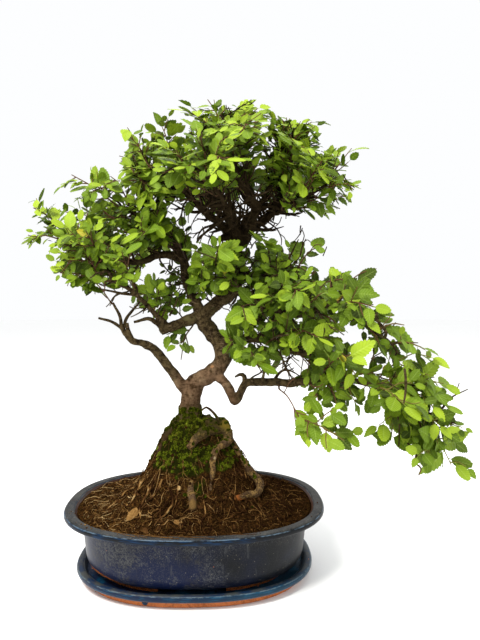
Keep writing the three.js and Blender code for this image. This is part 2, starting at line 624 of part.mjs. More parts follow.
// Twigs of every spray.
const sprays = [];
for (const [bough, tipGroups] of Object.entries(SPRAYS)) {
  tipGroups.forEach((tips, index) => {
    const twigs = [];
    for (const tip of tips) {
      const target = new THREE.Vector3(...tip);
      const forked = twigs.length > 0;
      const parent = forked ? twigs[0].axis : axisOf(BOUGHS[bough], stepsOf(BOUGHS[bough]));
      const points = twigTo(target, parent, forked ? FIRST_FORK_SHARE : FIRST_TWIG_SHARE, !forked);
      if (points) twigs.push({ points, axis: axisOf(points, TWIG_STEPS) });
    }
    const solids = twigs.map(({ points }) => stem(points, TWIG_SIDES, TWIG_STEPS));
    sprays.push({ name: `spray_${bough}_${index + 1}`, twigs, solids });
  });
}

// The leaf that a twig bears at a place along it, turned by a try's angles.
function leafAt(twig, share, side, lean, turn) {
  const point = twig.axis.pointAt(share);
  const along = twig.axis.tangentAt(share);
  const outward = point.clone().sub(CROWN_HEART).normalize();
  const face = new THREE.Vector3(0, 0, LEAF_SKYWARD).add(outward).addScaledVector(lean, LEAF_SCATTER);
  face.normalize();
  const across = along.clone().cross(face).normalize();
  const spread = side * (LEAF_SPREAD + turn);
  const direction = along.clone().multiplyScalar(Math.cos(spread));
  direction.addScaledVector(across, Math.sin(spread)).addScaledVector(face, LEAF_SKYWARD * turn);
  direction.normalize();
  return { point, direction, face };
}

// A leaf of a length at a place that leafAt gives, or the room that it needs.
function leafSolid(at, length, clearance = 0) {
  const shape = blade(length, LEAF_THICKNESS + 2 * clearance, clearance);
  return solidOf(placed(shape, at.point, at.direction, at.face));
}

// Whether a leaf's room is clear of the bark, of the other sprays and of its own spray's other leaves.
function leafIsClear(room, spray) {
  if (meets(room, tree)) return false;
  const others = sprays.flatMap((other) => other.solids.slice(other === spray ? spray.twigs.length : 0));
  return !others.some((other) => near(room, other) && meets(room, other));
}

// Leaves, one round at a time for all sprays, from each twig's tip back towards its root.
const draw = seededDraws(LEAF_SEED);
for (let round = 0; round < LEAF_ROUNDS; round++) {
  for (const spray of sprays) {
    for (const twig of spray.twigs) {
      const share = 1 - (LEAF_ROOT_DEPTH + round * LEAF_STEP) / twig.axis.length;
      if (share < BARE_TWIG_SHARE) continue;
      const side = round === 0 ? END_LEAF_TURN : round % 2 ? -1 : 1;
      const growth = 1 + LEAF_GROWTH_TO_RIGHT * twig.axis.pointAt(1).x;
      const length = LEAF_LENGTH * growth * (SHORTEST_LEAF + LEAF_LENGTH_RANGE * draw());
      const lean = new THREE.Vector3(draw() - 0.5, draw() - 0.5, draw() - 0.5);
      const places = LEAF_TURNS.map((turn) => leafAt(twig, share, side, lean, turn));
      const place = places.find((at) => leafIsClear(leafSolid(at, length, LEAF_CLEARANCE), spray));
      if (place) spray.solids.push(leafSolid(place, length));
    }
  }
}

const bonsai = new THREE.Group();

function add(name, geometry, look) {
  const mesh = new THREE.Mesh(geometry, look);
  mesh.name = name;
  bonsai.add(mesh);
}

add("saucer", saucer(), TEAL_GLAZE);
add("pot", geometryOf(pot()), NAVY_GLAZE);
add("drainage_net_left", drainageNet(-1), NET_BLACK);
add("drainage_net_right", drainageNet(1), NET_BLACK);
add("soil", geometryOf(soil()), SOIL_BROWN);
add("tree", geometryOf(tree), BARK);
for (const spray of sprays) add(spray.name, geometryOf(wasm.Manifold.union(spray.solids)), LEAF_GREEN);

export default bonsai;
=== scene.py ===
"""Looks of a potted zelkova bonsai: glazed pot and saucer, mossy soil, rootlets, bark and leaves."""

import logging
import math
import random
from collections.abc import Callable, Iterable, Sequence
from dataclasses import dataclass, field
from enum import Enum

import bpy
from mathutils import Euler, Matrix, Vector, bvhtree, kdtree, noise


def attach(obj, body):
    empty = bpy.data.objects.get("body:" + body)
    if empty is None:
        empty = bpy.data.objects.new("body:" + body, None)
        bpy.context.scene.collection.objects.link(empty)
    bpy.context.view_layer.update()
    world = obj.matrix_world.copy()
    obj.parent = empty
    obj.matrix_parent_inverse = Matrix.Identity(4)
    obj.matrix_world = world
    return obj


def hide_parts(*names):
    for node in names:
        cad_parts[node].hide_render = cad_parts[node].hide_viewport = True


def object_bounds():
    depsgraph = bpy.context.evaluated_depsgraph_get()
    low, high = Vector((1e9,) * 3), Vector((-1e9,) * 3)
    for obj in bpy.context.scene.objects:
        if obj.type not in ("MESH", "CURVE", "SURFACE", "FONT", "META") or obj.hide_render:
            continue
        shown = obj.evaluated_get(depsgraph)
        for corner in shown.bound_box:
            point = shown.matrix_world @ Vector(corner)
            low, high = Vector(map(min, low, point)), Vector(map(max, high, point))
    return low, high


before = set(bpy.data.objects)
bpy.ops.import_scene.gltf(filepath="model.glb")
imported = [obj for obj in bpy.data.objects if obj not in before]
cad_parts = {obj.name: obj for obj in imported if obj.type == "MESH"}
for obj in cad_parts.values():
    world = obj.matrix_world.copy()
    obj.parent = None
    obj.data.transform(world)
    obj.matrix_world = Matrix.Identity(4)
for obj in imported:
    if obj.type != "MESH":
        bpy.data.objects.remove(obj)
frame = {"nodes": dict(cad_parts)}
CAD_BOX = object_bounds()
log = logging.getLogger("bonsai")

# Sizes are in millimetres, as in the part's own drawing, and become metres where a mesh is made.
MM = 0.001
Point = tuple[float, float, float, float]
Place = tuple[float, float, float]
Pair = tuple[float, float]
Spot = tuple[float, float]
Colour = tuple[float, float, float, float]
Piece = bpy.types.Object
Look = bpy.types.Material
Socket = bpy.types.NodeSocket
Surface = bvhtree.BVHTree

UP = Vector((0, 0, 1))
DOWN = Vector((0, 0, -1))

# Blender's noise starts at a place that the clock gives, unless it is given a number.
NOISE_SEED = 7

# A full turn, about, and the turn from one shoot to the next round its stem.
TURN = 6.3
NEXT_SHOOT = 2.4

# The angle in degrees from which an edge of the pottery stays sharp.
EDGE_ANGLE = 38

# Sections of the pot and saucer: ovals of this depth for their length, squarer than an ellipse.
OVAL_DEPTH = 0.8
OVAL_POWER = 2.4

# The middle of the crown, which leaves turn their faces away from.
CROWN_HEART = Vector((20, 10, 300))

# The tree's axes as points of x, y, z and radius. Each bough starts inside the one it grew from.
BOUGHS: dict[str, list[Point]] = {
    "trunk": [
        (-5, 0, 126, 17), (-6, 0, 140, 14.5), (-6, 0, 156, 11.5), (-6, 0, 171, 10.5), (-2, -1, 184, 10),
        (7, -3, 192, 9), (18, -4, 198, 8.8), (27, -4, 210, 8.6), (27, -2, 223, 8.4), (18, 2, 237, 8.2),
        (8, 4, 251, 8), (3, 6, 261, 6.5),
    ],
    "centre_stem": [
        (8, 4, 254, 7), (21, 0, 268, 7), (34, -2, 277, 6.8), (41, 0, 289, 6.8), (42, 4, 304, 7),
        (40, 6, 321, 7.4), (40, 9, 336, 8),
    ],
    "left_stem": [
        (6, 5, 255, 6), (-1, 9, 271, 5.8), (-9, 13, 288, 5.6), (-11, 15, 304, 5.2), (-15, 14, 319, 4.6),
        (-25, 10, 336, 3.2), (-39, 5, 348, 2.4), (-56, -2, 357, 1.8), (-77, -8, 364, 1.3),
    ],
    "left_level": [
        (-13, 14, 314, 4.2), (-29, 18, 319, 4), (-44, 20, 318, 3.7), (-56, 17, 312, 3.4),
        (-71, 14, 311, 3), (-88, 8, 313, 2.3), (-108, 2, 315, 1.8), (-128, -4, 319, 1.2),
    ],
    "left_back": [
        (-13, 16, 315, 3.4), (-27, 34, 330, 3), (-46, 50, 338, 2.5), (-68, 62, 346, 2),
        (-92, 70, 351, 1.3),
    ],
    "left_stub": [
        (5, 4, 256, 6.2), (-7, -2, 251, 5.8), (-19, -6, 247, 5.4), (-28, -9, 243, 4.8),
        (-35, -10, 239, 4),
    ],
    "dead_snag": [(-29, -9, 242, 3.2), (-38, -14, 249, 2.5), (-46, -16, 253, 2), (-60, -18, 250, 1.2)],
    "left_sweep": [
        (-25, -8, 244, 3), (-41, -15, 259, 2.7), (-52, -20, 272, 2.5), (-63, -24, 282, 2.3),
        (-75, -28, 289, 2.1), (-82, -30, 299, 1.9), (-91, -32, 312, 1.5), (-101, -32, 326, 1.1),
    ],
    "bare_limb": [
        (-7, 0, 177, 6.5), (-16, -3, 188, 5.8), (-25, -6, 201, 5), (-34, -9, 213, 4.7),
        (-43, -12, 224, 4.4), (-53, -14, 229, 3.8), (-63, -16, 231, 3.2), (-68, -18, 238, 2.6),
        (-72, -18, 245, 2.2),
    ],
    "bare_twig_left": [(-71, -18, 243, 1.7), (-81, -20, 250, 1.5), (-94, -22, 254, 1)],
    "bare_twig_up": [(-72, -18, 243, 1.9), (-73, -22, 256, 1.7), (-79, -26, 269, 1.1)],
    "bare_twig_right": [(-71, -18, 242, 1.7), (-67, -14, 255, 1.5), (-55, -10, 270, 1)],
    "bare_knob": [(-61, -16, 230, 2.8), (-65, -20, 240, 2.4), (-66, -22, 249, 1.5)],
    "low_bough": [
        (17, -4, 197, 5.4), (27, -10, 191, 5), (34, -14, 183, 4.8), (40, -18, 171, 4.4),
        (46, -20, 181, 4.2), (52, -22, 190, 4.1), (69, -27, 191, 4.1), (96, -38, 192, 4),
        (121, -50, 196, 3.6), (154, -63, 196, 2.9), (184, -73, 188, 2.1), (198, -76, 178, 1.8),
        (212, -79, 170, 1.4), (223, -82, 159, 1),
    ],
    "hook": [(50, -21, 187, 2.6), (49, -21, 196, 2.2), (45, -22, 198, 1.7), (40, -24, 196, 1)],
    "low_nub": [(118, -49, 195, 2.4), (124, -52, 200, 1.8), (125, -54, 206, 1)],
    "right_bough": [
        (24, -2, 226, 5), (36, -12, 231, 4.8), (52, -22, 234, 4.6), (68, -28, 233, 4.3),
        (83, -33, 228, 4), (99, -37, 222, 3.4), (112, -40, 220, 2.6), (126, -43, 222, 1.6),
    ],
    "shoulder": [
        (39, -1, 281, 5), (51, -14, 278, 4.8), (61, -24, 272, 4.6), (73, -34, 263, 4.2),
        (86, -43, 259, 3.8), (101, -50, 258, 3.4), (115, -56, 262, 3), (128, -60, 268, 2.6),
        (141, -63, 267, 2.2), (152, -66, 258, 1.9), (165, -69, 243, 1.6), (178, -71, 234, 1.3),
        (188, -72, 222, 0.9),
    ],
    "right_twigs": [
        (42, 4, 307, 3.6), (55, -4, 298, 3), (67, -10, 290, 2.6), (77, -14, 289, 2.3),
        (96, -20, 296, 1.6), (108, -22, 297, 1),
    ],
    "right_back": [
        (41, 6, 300, 4), (59, 24, 294, 3.5), (79, 42, 287, 3), (102, 56, 281, 2.4), (126, 66, 275, 1.8),
        (150, 72, 266, 1.2),
    ],
    "crown_left": [
        (39, 9, 334, 5.4), (29, 3, 346, 4.8), (17, -4, 355, 4.4), (7, -8, 363, 4), (-3, -11, 372, 3.4),
        (-17, -13, 380, 2.6), (-34, -14, 388, 1.9), (-52, -14, 394, 1.2),
    ],
    "crown_left_back": [
        (40, 10, 334, 5), (34, 22, 362, 4.4), (21, 32, 377, 3.8), (5, 40, 387, 3.2),
        (-15, 46, 398, 2.6), (-35, 50, 410, 1.9), (-53, 52, 422, 1.2),
    ],
    "crown_leader": [
        (42, 9, 332, 6), (55, 5, 344, 5.4), (58, 1, 359, 5), (61, -4, 369, 4.6), (53, -8, 379, 4.2),
        (44, -10, 389, 3.6), (39, -9, 406, 3), (35, -6, 427, 2.4), (31, -3, 447, 1.6),
        (27, 0, 460, 1.1),
    ],
    "crown_right": [
        (44, 10, 333, 5.6), (63, 15, 350, 4.8), (76, 18, 362, 4.3), (86, 18, 377, 3.8),
        (89, 15, 393, 3.2), (90, 11, 408, 2.6), (91, 7, 424, 2), (99, 4, 439, 1.3),
    ],
    "crown_edge": [
        (68, 16, 354, 3.4), (82, 6, 361, 3), (94, -6, 365, 2.5), (107, -14, 372, 2),
        (122, -20, 380, 1.6), (137, -24, 389, 1.1),
    ],
    "crown_right_back": [
        (44, 12, 334, 4.6), (57, 34, 361, 4), (72, 52, 381, 3.4), (88, 64, 398, 2.6),
        (106, 72, 412, 1.8), (122, 76, 424, 1.2),
    ],
    "crown_back": [
        (40, 12, 334, 4.4), (33, 42, 366, 3.8), (24, 64, 390, 3), (17, 80, 414, 2.2),
        (10, 88, 434, 1.4),
    ],
    "crown_front": [
        (40, 7, 332, 4.2), (38, -14, 349, 3.6), (31, -32, 363, 2.9), (20, -48, 377, 2.2),
        (11, -60, 391, 1.4),
    ],
}

# Dead and bare twigs seen from the front, as points of x, y, z and radius.
DEAD_TWIGS: dict[str, list[Point]] = {
    "over the knuckle": [
        (27, -15, 146, 1.5), (22, -18, 155, 1.5), (16, -19, 162, 1.4), (11, -19, 165, 1.2),
        (7, -19, 162, 0.9),
    ],
    "left snag": [
        (-54, -24, 276, 1.4), (-62, -24, 277, 1.3), (-70, -26, 278, 1.2), (-79, -28, 280, 1),
        (-90, -30, 282, 0.8),
    ],
    "pale twig": [(-26, -7, 256, 1.1), (-23, -8, 261, 1.1), (-20, -10, 267, 1), (-17, -12, 274, 0.7)],
    "long reddish twig": [
        (2, -12, 329, 1.2), (8, -20, 336, 1.2), (25, -26, 347, 1.2), (45, -30, 363, 1.1),
        (60, -32, 371, 1), (76, -30, 379, 0.7),
    ],
    "hanging twig": [
        (178, -84, 178, 1), (182, -90, 167, 0.9), (182, -92, 157, 0.8), (181, -94, 144, 0.6),
    ],
    "low hanging twig": [
        (190, -90, 146, 0.9), (195, -97, 139, 0.8), (193, -100, 132, 0.8), (198, -101, 127, 0.7),
        (196, -102, 121, 0.5),
    ],
    "golden twig": [
        (181, -108, 213, 1), (179, -118, 205, 1), (178, -120, 195, 0.9), (176, -122, 187, 0.7),
    ],
    "middle twig": [(64, -36, 280, 1.1), (75, -40, 285, 1), (88, -42, 291, 0.9), (101, -42, 295, 0.6)],
}

# Surface roots as points of x, y, lift above the mound and radius: to the left, over the knuckle, the
# gnarled one under it, the loop on the right, the one behind, and the peg in front.
ROOTS: list[list[Point]] = [
    [
        (-8, -3, 1, 6), (-17, -6, 1.8, 4.9), (-26, -9, 0.8, 4.1), (-33, -13, -3.2, 3.2),
        (-40, -16, -7, 2.2),
    ],
    [
        (4, -8, -3, 4.2), (12, -11, 0.8, 4.2), (20, -12, 5.2, 4.2), (27, -13, 10.5, 4.8),
        (32, -16, 9.5, 5), (31.5, -22, 5.5, 4.4), (26, -29, 3.2, 3.9), (20.5, -36, 1.8, 3.5),
        (17, -43, 0.2, 2.9), (16, -49, -2.4, 2),
    ],
    [(26, -14, 2, 4.2), (18, -19, 2.6, 5.4), (9, -24.5, 2, 5.6), (1, -29, 0.8, 4.8), (-6, -33.5, -2, 3)],
    [
        (10, -4, 0, 6), (27, -8, 0.5, 4.6), (42, -11, 1.6, 4.2), (53, -15, 4.6, 4.2),
        (61.5, -21, 6.6, 4.2), (63.5, -29, 6, 4), (59.5, -37, 4, 3.8), (52.5, -43, 2, 3.6),
        (45, -47.5, 0.4, 3.1), (39, -50, -2, 2.4),
    ],
    [(-2, 6, 0, 6), (-6, 21, 1, 4.2), (-14, 36, 0.6, 3), (-20, 50, -1.4, 1.8)],
    [
        (-2.5, -45, -1, 2.2), (-2, -50, 2.2, 3.3), (-0.5, -55, 2.8, 3.7), (0.6, -59.5, 1.6, 3.4),
        (1, -61.5, 0.6, 2.2),
    ],
]

# Marks on the bark, as x, y, z, reach and colour: pruning scars, broken root tips and golden moss.
MARKS: list[tuple[float, float, float, float, tuple[int, int, int]]] = [
    (17, -12, 205, 2.2, (134, 98, 66)), (41, -48, 82, 7.0, (150, 84, 36)),
    (20, -40, 120, 1.6, (150, 134, 104)), (33, -17, 147, 8.0, (92, 78, 26)),
    (-29, -16, 139, 2.6, (138, 116, 88)), (-17, -12, 146, 2.0, (130, 108, 78)),
    (0, -60, 82, 6.0, (104, 80, 44)), (14, -19, 163, 5.0, (38, 26, 18)),
]

# Woody root ends in front, as points of x, y, lift above the soil and radius.
WOODY_ENDS: list[list[Point]] = [
    [(-49, -24, 0.6, 1.7), (-54, -30, 2.4, 1.7), (-56, -38, 1.6, 1.4), (-61, -47, 0.2, 1.0)],
    [
        (-24, -46, 0.5, 1.3), (-19, -53, 3.2, 1.5), (-21, -61, 3.4, 1.3), (-24, -69, 2, 1.1),
        (-33, -77, 0.4, 0.8),
    ],
    [(-30, -42, 0.4, 1.2), (-39, -49, 2.4, 1.3), (-47, -56, 1.6, 1.1), (-54, -66, 0.4, 0.8)],
    [(-36, -36, 0.5, 1.5), (-44, -44, 2, 1.6), (-49, -56, 2.6, 1.3), (-47, -66, 0.6, 0.8)],
    [(-16, -50, 0.6, 1.0), (-25, -56, 2.6, 1.1), (-29, -66, 2.4, 1.0), (-27, -76, 0.4, 0.7)],
    [(10, -56, 0.4, 1.0), (12, -66, 1.4, 1.0), (9, -76, 1.2, 0.8), (12, -86, 0.2, 0.6)],
    [(-60, -18, 0.4, 1.3), (-68, -26, 1.6, 1.2), (-78, -30, 1.2, 1.0), (-86, -39, 0.2, 0.7)],
    [(34, -52, 0.3, 0.9), (44, -58, 1.6, 0.9), (56, -60, 1.2, 0.7), (66, -66, 0.2, 0.5)],
]

# Leafy sprays: by bough, and by spray, the points that its forked twig reaches.
SPRAYS: dict[str, list[list[Place]]] = {
    "crown_leader": [[(-7, -8, 460), (25, 12, 464)], [(63, -6, 464), (49, -62, 427)]],
    "crown_right": [[(80, 20, 466), (119, 4, 454)], [(96, -48, 420)]],
    "crown_edge": [[(154, -24, 420), (156, -26, 379)], [(129, -2, 359)], [(119, -58, 399)]],
    "crown_left": [[(-64, -22, 432)], [(-66, -30, 398), (-41, -36, 370)], [(-13, -72, 404)]],
    "crown_left_back": [[(-74, 54, 432)], [(-39, 46, 462), (-26, 76, 419)]],
    "crown_front": [[(4, -66, 425), (31, -84, 392)]],
    "crown_right_back": [[(146, 70, 424)], [(108, 76, 458), (112, 78, 392)]],
    "crown_back": [[(38, 80, 468), (-12, 88, 448)], [(48, 100, 420)]],
    "left_stem": [
        [(-121, -14, 395), (-85, -34, 383)], [(-42, -30, 367)], [(-51, -44, 335)], [(12, -30, 308)],
    ],
    "left_level": [[(-160, -8, 363), (-163, -12, 331)], [(-126, 26, 367)], [(-111, -8, 287)]],
    "left_back": [[(-114, 76, 380), (-134, 68, 340)], [(-80, 78, 318)]],
    "left_sweep": [[(-125, -42, 297), (-116, -48, 338)], [(-64, -58, 315)]],
    "left_stub": [[(-49, 20, 282)], [(-14, -14, 212)]],
    "centre_stem": [[(24, -56, 321)]],
    "right_twigs": [[(65, -44, 330)], [(124, -30, 324)], [(109, 14, 311)]],
    "right_back": [[(160, 76, 298), (134, 84, 240)], [(92, 74, 312)]],
    "shoulder": [
        [(44, -62, 265)], [(96, -84, 280)], [(168, -66, 300)], [(190, -78, 249)], [(156, -98, 266)],
    ],
    "right_bough": [[(31, -52, 222)], [(63, -70, 206)], [(111, -88, 239)], [(108, -8, 202)]],
    "low_bough": [
        [(98, -82, 163), (133, -96, 150)], [(138, -100, 223)], [(181, -70, 143)], [(205, -76, 226)],
        [(222, -88, 198), (225, -82, 160)], [(229, -90, 126), (200, -104, 133)], [(178, -118, 185)],
    ],
    "bare_twig_up": [[(-90, -46, 287)]],
}

# The soil mound under the trunk, as pairs of reach and height.
MOUND = [
    (104, 67.6), (84, 73), (68, 80.5), (58, 91), (50, 103), (41, 119), (32, 132.5), (20, 147), (0, 156),
]

# How far out and how high the pot's rim goes.
RIM_REACH = 130.0
RIM_TOP = 68.0

# How far apart the points of a smooth line are on a bough and on a twig.
BOUGH_STEP = 2.2
TWIG_STEP = 3.5

# How round a stem is: it has 4 faces round it and 2 more for each of these.
HAIR_ROUND = 0
THIN_ROUND = 1
TWIG_ROUND = 2
THICK_ROUND = 6


def srgb(red: int, green: int, blue: int) -> Colour:
    """A screen colour of 0 to 255 as the linear colour that a shader takes."""
    shares = (red / 255, green / 255, blue / 255)
    linear = (part / 12.92 if part <= 0.04045 else ((part + 0.055) / 1.055) ** 2.4 for part in shares)
    return (*linear, 1.0)


def limited(value: float, low: float = 0.0) -> float:
    """A value kept between a low limit and 1."""
    return min(1.0, max(low, value))


def drawn(draws: random.Random, spread: float) -> Vector:
    """A drawn step, up to a spread each way along each axis."""
    return Vector([draws.uniform(-spread, spread) for _ in range(3)])


def from_low_to_high(ends: Pair, share: float) -> float:
    """The value at a share of the way between two ends."""
    return ends[0] + (ends[1] - ends[0]) * share


def shape(kind: str, **settings: object) -> Piece:
    """Adds one of Blender's mesh primitives, with nothing else selected."""
    bpy.ops.object.select_all(action="DESELECT")
    getattr(bpy.ops.mesh, f"primitive_{kind}_add")(**settings)
    return bpy.context.object


def marked(piece: Piece, name: str, values: Iterable[float]) -> None:
    """Gives each point of a mesh a number that its material reads."""
    attributes = piece.data.attributes
    marks = attributes.get(name) or attributes.new(name, "FLOAT", "POINT")
    marks.data.foreach_set("value", list(values))


def toned(piece: Piece, tone: float) -> None:
    """Gives a whole mesh one tone, from 0 to 1."""
    marked(piece, "tone", [tone] * len(piece.data.vertices))


def pick(*pieces: Piece) -> None:
    """Selects these objects alone and makes the first one active."""
    bpy.ops.object.select_all(action="DESELECT")
    for piece in pieces:
        piece.select_set(True)
    bpy.context.view_layer.objects.active = pieces[0]


def joined(name: str, pieces: Sequence[Piece]) -> Piece:
    """Joins meshes into one object.

    Args:
        name: the joined object's name.
        pieces: the objects to join. They are used up.

    Returns:
        The joined object, at the origin.
    """
    pick(*pieces)
    if len(pieces) > 1:
        bpy.ops.object.join()
    whole = bpy.context.object
    whole.name = name
    whole.data.name = name
    return whole


def turned(name: str, profile: Sequence[Pair], sides: int) -> Piece:
    """Draws a closed form up ring by ring, as a potter's wheel does.

    Args:
        name: the object's name.
        profile: pairs of reach and height, the first and last close to the axis.
        sides: how many corners each ring has.

    Returns:
        The closed object, with its faces pointing out.
    """
    reach, height = profile[0]
    middle = (0, 0, height * MM)
    piece = shape("circle", vertices=sides, radius=reach * MM, fill_type="TRIFAN", location=middle)
    piece.name = name
    bpy.ops.object.transform_apply()
    bpy.ops.object.mode_set(mode="EDIT")
    bpy.ops.mesh.select_mode(type="EDGE")
    bpy.ops.mesh.select_all(action="DESELECT")
    bpy.ops.mesh.select_non_manifold()
    for next_reach, next_height in profile[1:]:
        rise = (next_height - height) * MM
        growth = next_reach / reach
        bpy.ops.mesh.extrude_edges_move(TRANSFORM_OT_translate={"value": (0, 0, rise)})
        bpy.ops.transform.resize(value=(growth, growth, 1), center_override=(0, 0, next_height * MM))
        reach, height = next_reach, next_height
    bpy.ops.mesh.edge_face_add()
    bpy.ops.mesh.poke()
    bpy.ops.mesh.select_all(action="SELECT")
    bpy.ops.mesh.normals_make_consistent(inside=False)
    bpy.ops.object.mode_set(mode="OBJECT")
    return piece


def moved(piece: Piece, place: Callable[[Vector], Vector]) -> None:
    """Moves each of a mesh's points, in millimetres, to where a function puts it."""
    for vertex in piece.data.vertices:
        vertex.co = place(vertex.co / MM) * MM
    piece.data.update()


def reach_of(x: float, y: float) -> float:
    """How far out on the pot's long axis the oval through a point goes."""
    return (abs(x) ** OVAL_POWER + (abs(y) / OVAL_DEPTH) ** OVAL_POWER) ** (1 / OVAL_POWER)


def oval(point: Vector, depth: float = OVAL_DEPTH) -> Vector:
    """The place on the pot's oval of a point on a round ring."""
    reach = math.hypot(point.x, point.y)
    angle = math.atan2(point.y, point.x)

    def squeezed(value: float) -> float:
        """How far a circle's value moves towards the oval's corner."""
        return math.copysign(abs(value) ** (2 / OVAL_POWER), value) if abs(value) > 1e-9 else 0

    across, along = squeezed(math.cos(angle)), squeezed(math.sin(angle))
    return Vector((across * reach, along * reach * depth, point.z))


def arc(start: Pair, corner: Pair, end: Pair, steps: int) -> list[Pair]:
    """Points on the curve from a start to an end that bends towards a corner.

    Args:
        start: where the curve starts.
        corner: the corner that it bends towards.
        end: where it ends.
        steps: how many points there are.

    Returns:
        The points, without the start and with the end.
    """
    found = []
    for step in range(1, steps + 1):
        t = step / steps
        parts = list(zip(((1 - t) ** 2, 2 * t * (1 - t), t * t), (start, corner, end)))
        found.append(tuple(sum(part * place[axis] for part, place in parts) for axis in (0, 1)))
    return found


def section(*moves: Pair | tuple[Pair, Pair, int]) -> list[Pair]:
    """The outline of a turned form.

    Args:
        moves: one after another, the place that the outline goes straight to, or the corner that
            it bends towards, the place where it ends and how many points it has.

    Returns:
        Its points, as pairs of reach and height.
    """
    points = []
    for move in moves:
        points += arc(points[-1], *move) if len(move) == 3 else [move]
    return points


def smooth_line(points: Sequence[Point], step: float) -> list[Point]:
    """Rounds a line off.

    Args:
        points: points of x, y, z and radius that the line passes.
        step: the distance between the points given back, about.

    Returns:
        Points of x, y, z and radius along a smooth line through all of them.
    """
    before_first = [2 * a - b for a, b in zip(points[0], points[1])]
    after_last = [2 * a - b for a, b in zip(points[-1], points[-2])]
    padded = [before_first, *points, after_last]
    line = []
    for k in range(1, len(padded) - 2):
        before, here, there, after = padded[k - 1:k + 3]
        count = max(1, round(math.dist(here[:3], there[:3]) / step))
        for i in range(count):
            t = i / count
            line.append(tuple(
                0.5 * (
                    2 * q + (r - p) * t + (2 * p - 5 * q + 4 * r - s) * t * t
                    + (3 * q - p - 3 * r + s) * t ** 3
                )
                for p, q, r, s in zip(before, here, there, after)
            ))
    line.append(tuple(points[-1]))
    return line


def stems(name: str, lines: Iterable[Sequence[Point]], rounding: int,
          look: Look | None) -> Piece:
    """Makes round stems along lines.

    Args:
        name: the object's name.
        lines: for each stem, its points of x, y, z and radius in millimetres.
        rounding: how round the stems are.
        look: their material, if they have one yet.

    Returns:
        One mesh with all the stems, closed at both ends.
    """
    bpy.ops.object.select_all(action="DESELECT")
    bpy.ops.curve.primitive_bezier_curve_add()
    curve = bpy.context.object
    curve.name = name
    curve.data.splines.clear()
    for line in lines:
        spline = curve.data.splines.new("POLY")
        spline.points.add(len(line) - 1)
        for knot, (x, y, z, radius) in zip(spline.points, line):
            knot.co = (x * MM, y * MM, z * MM, 1)
            knot.radius = radius
    curve.data.bevel_depth = MM
    curve.data.bevel_resolution = rounding
    curve.data.use_fill_caps = True
    if look:
        curve.data.materials.append(look)
    bpy.ops.object.convert(target="MESH")
    piece = bpy.context.object
    bpy.ops.object.shade_smooth()
    return piece


def finished(piece: Piece, slot: str, *nodes: str) -> Piece:
    """Puts a piece on the part: it rides on the root body and stands for the named nodes, if any."""
    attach(piece, "root")
    if nodes:
        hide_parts(*nodes)
    log.info("%s: %d faces", piece.name, len(piece.data.polygons))
    return piece


def coated(piece: Piece, look: Look, crease: float | None = None) -> None:
    """Gives a piece one material and soft shading, with edges kept from a crease in degrees up."""
    piece.data.materials.clear()
    piece.data.materials.append(look)
    pick(piece)
    if crease:
        bpy.ops.object.shade_smooth_by_angle(angle=math.radians(crease))
    else:
        bpy.ops.object.shade_smooth()


def modified(piece: Piece, kind: str, **settings: object) -> None:
    """Adds a modifier with these settings to a piece and applies it."""
    pick(piece)
    bpy.ops.object.modifier_add(type=kind)
    modifier = piece.modifiers[-1]
    for setting, value in settings.items():
        setattr(modifier, setting, value)
    bpy.ops.object.modifier_apply(modifier=modifier.name)


class Value:
    """A socket in a material. Arithmetic on it adds Math nodes."""

    def __init__(self, sheet: "Sheet", socket: Socket) -> None:
        """Wraps a socket of a sheet."""
        self.sheet = sheet
        self.socket = socket

    def _math(self, operation: str, first: object, second: object = 0.0, clamp: bool = False) -> "Value":
        """One Math node on two values."""
        settings = {"operation": operation, "use_clamp": clamp}
        node = self.sheet.add("ShaderNodeMath", settings, {0: first, 1: second})
        return Value(self.sheet, node.outputs[0])

    def __add__(self, other: object) -> "Value":
        """Sum."""
        return self._math("ADD", self, other)

    __radd__ = __add__

    def __sub__(self, other: object) -> "Value":
        """Difference."""
        return self._math("SUBTRACT", self, other)

    def __rsub__(self, other: object) -> "Value":
        """Difference from a number."""
        return self._math("SUBTRACT", other, self)

    def __mul__(self, other: object) -> "Value":
        """Product."""
        return self._math("MULTIPLY", self, other)

    __rmul__ = __mul__

    def __abs__(self) -> "Value":
        """Size without sign."""
        return self._math("ABSOLUTE", self)

    def wave(self) -> "Value":
        """The sine of the value."""
        return self._math("SINE", self)

    def clamped(self) -> "Value":
        """The value kept within 0 and 1."""
        return self._math("ADD", self, 0.0, clamp=True)

    def between(self, low: float, high: float) -> "Value":
        """A soft step: 0 at low and 1 at high."""
        node = self.sheet.add(
            "ShaderNodeMapRange", {"interpolation_type": "SMOOTHSTEP"},
            {"Value": self, "From Min": low, "From Max": high},
        )
        return Value(self.sheet, node.outputs["Result"])


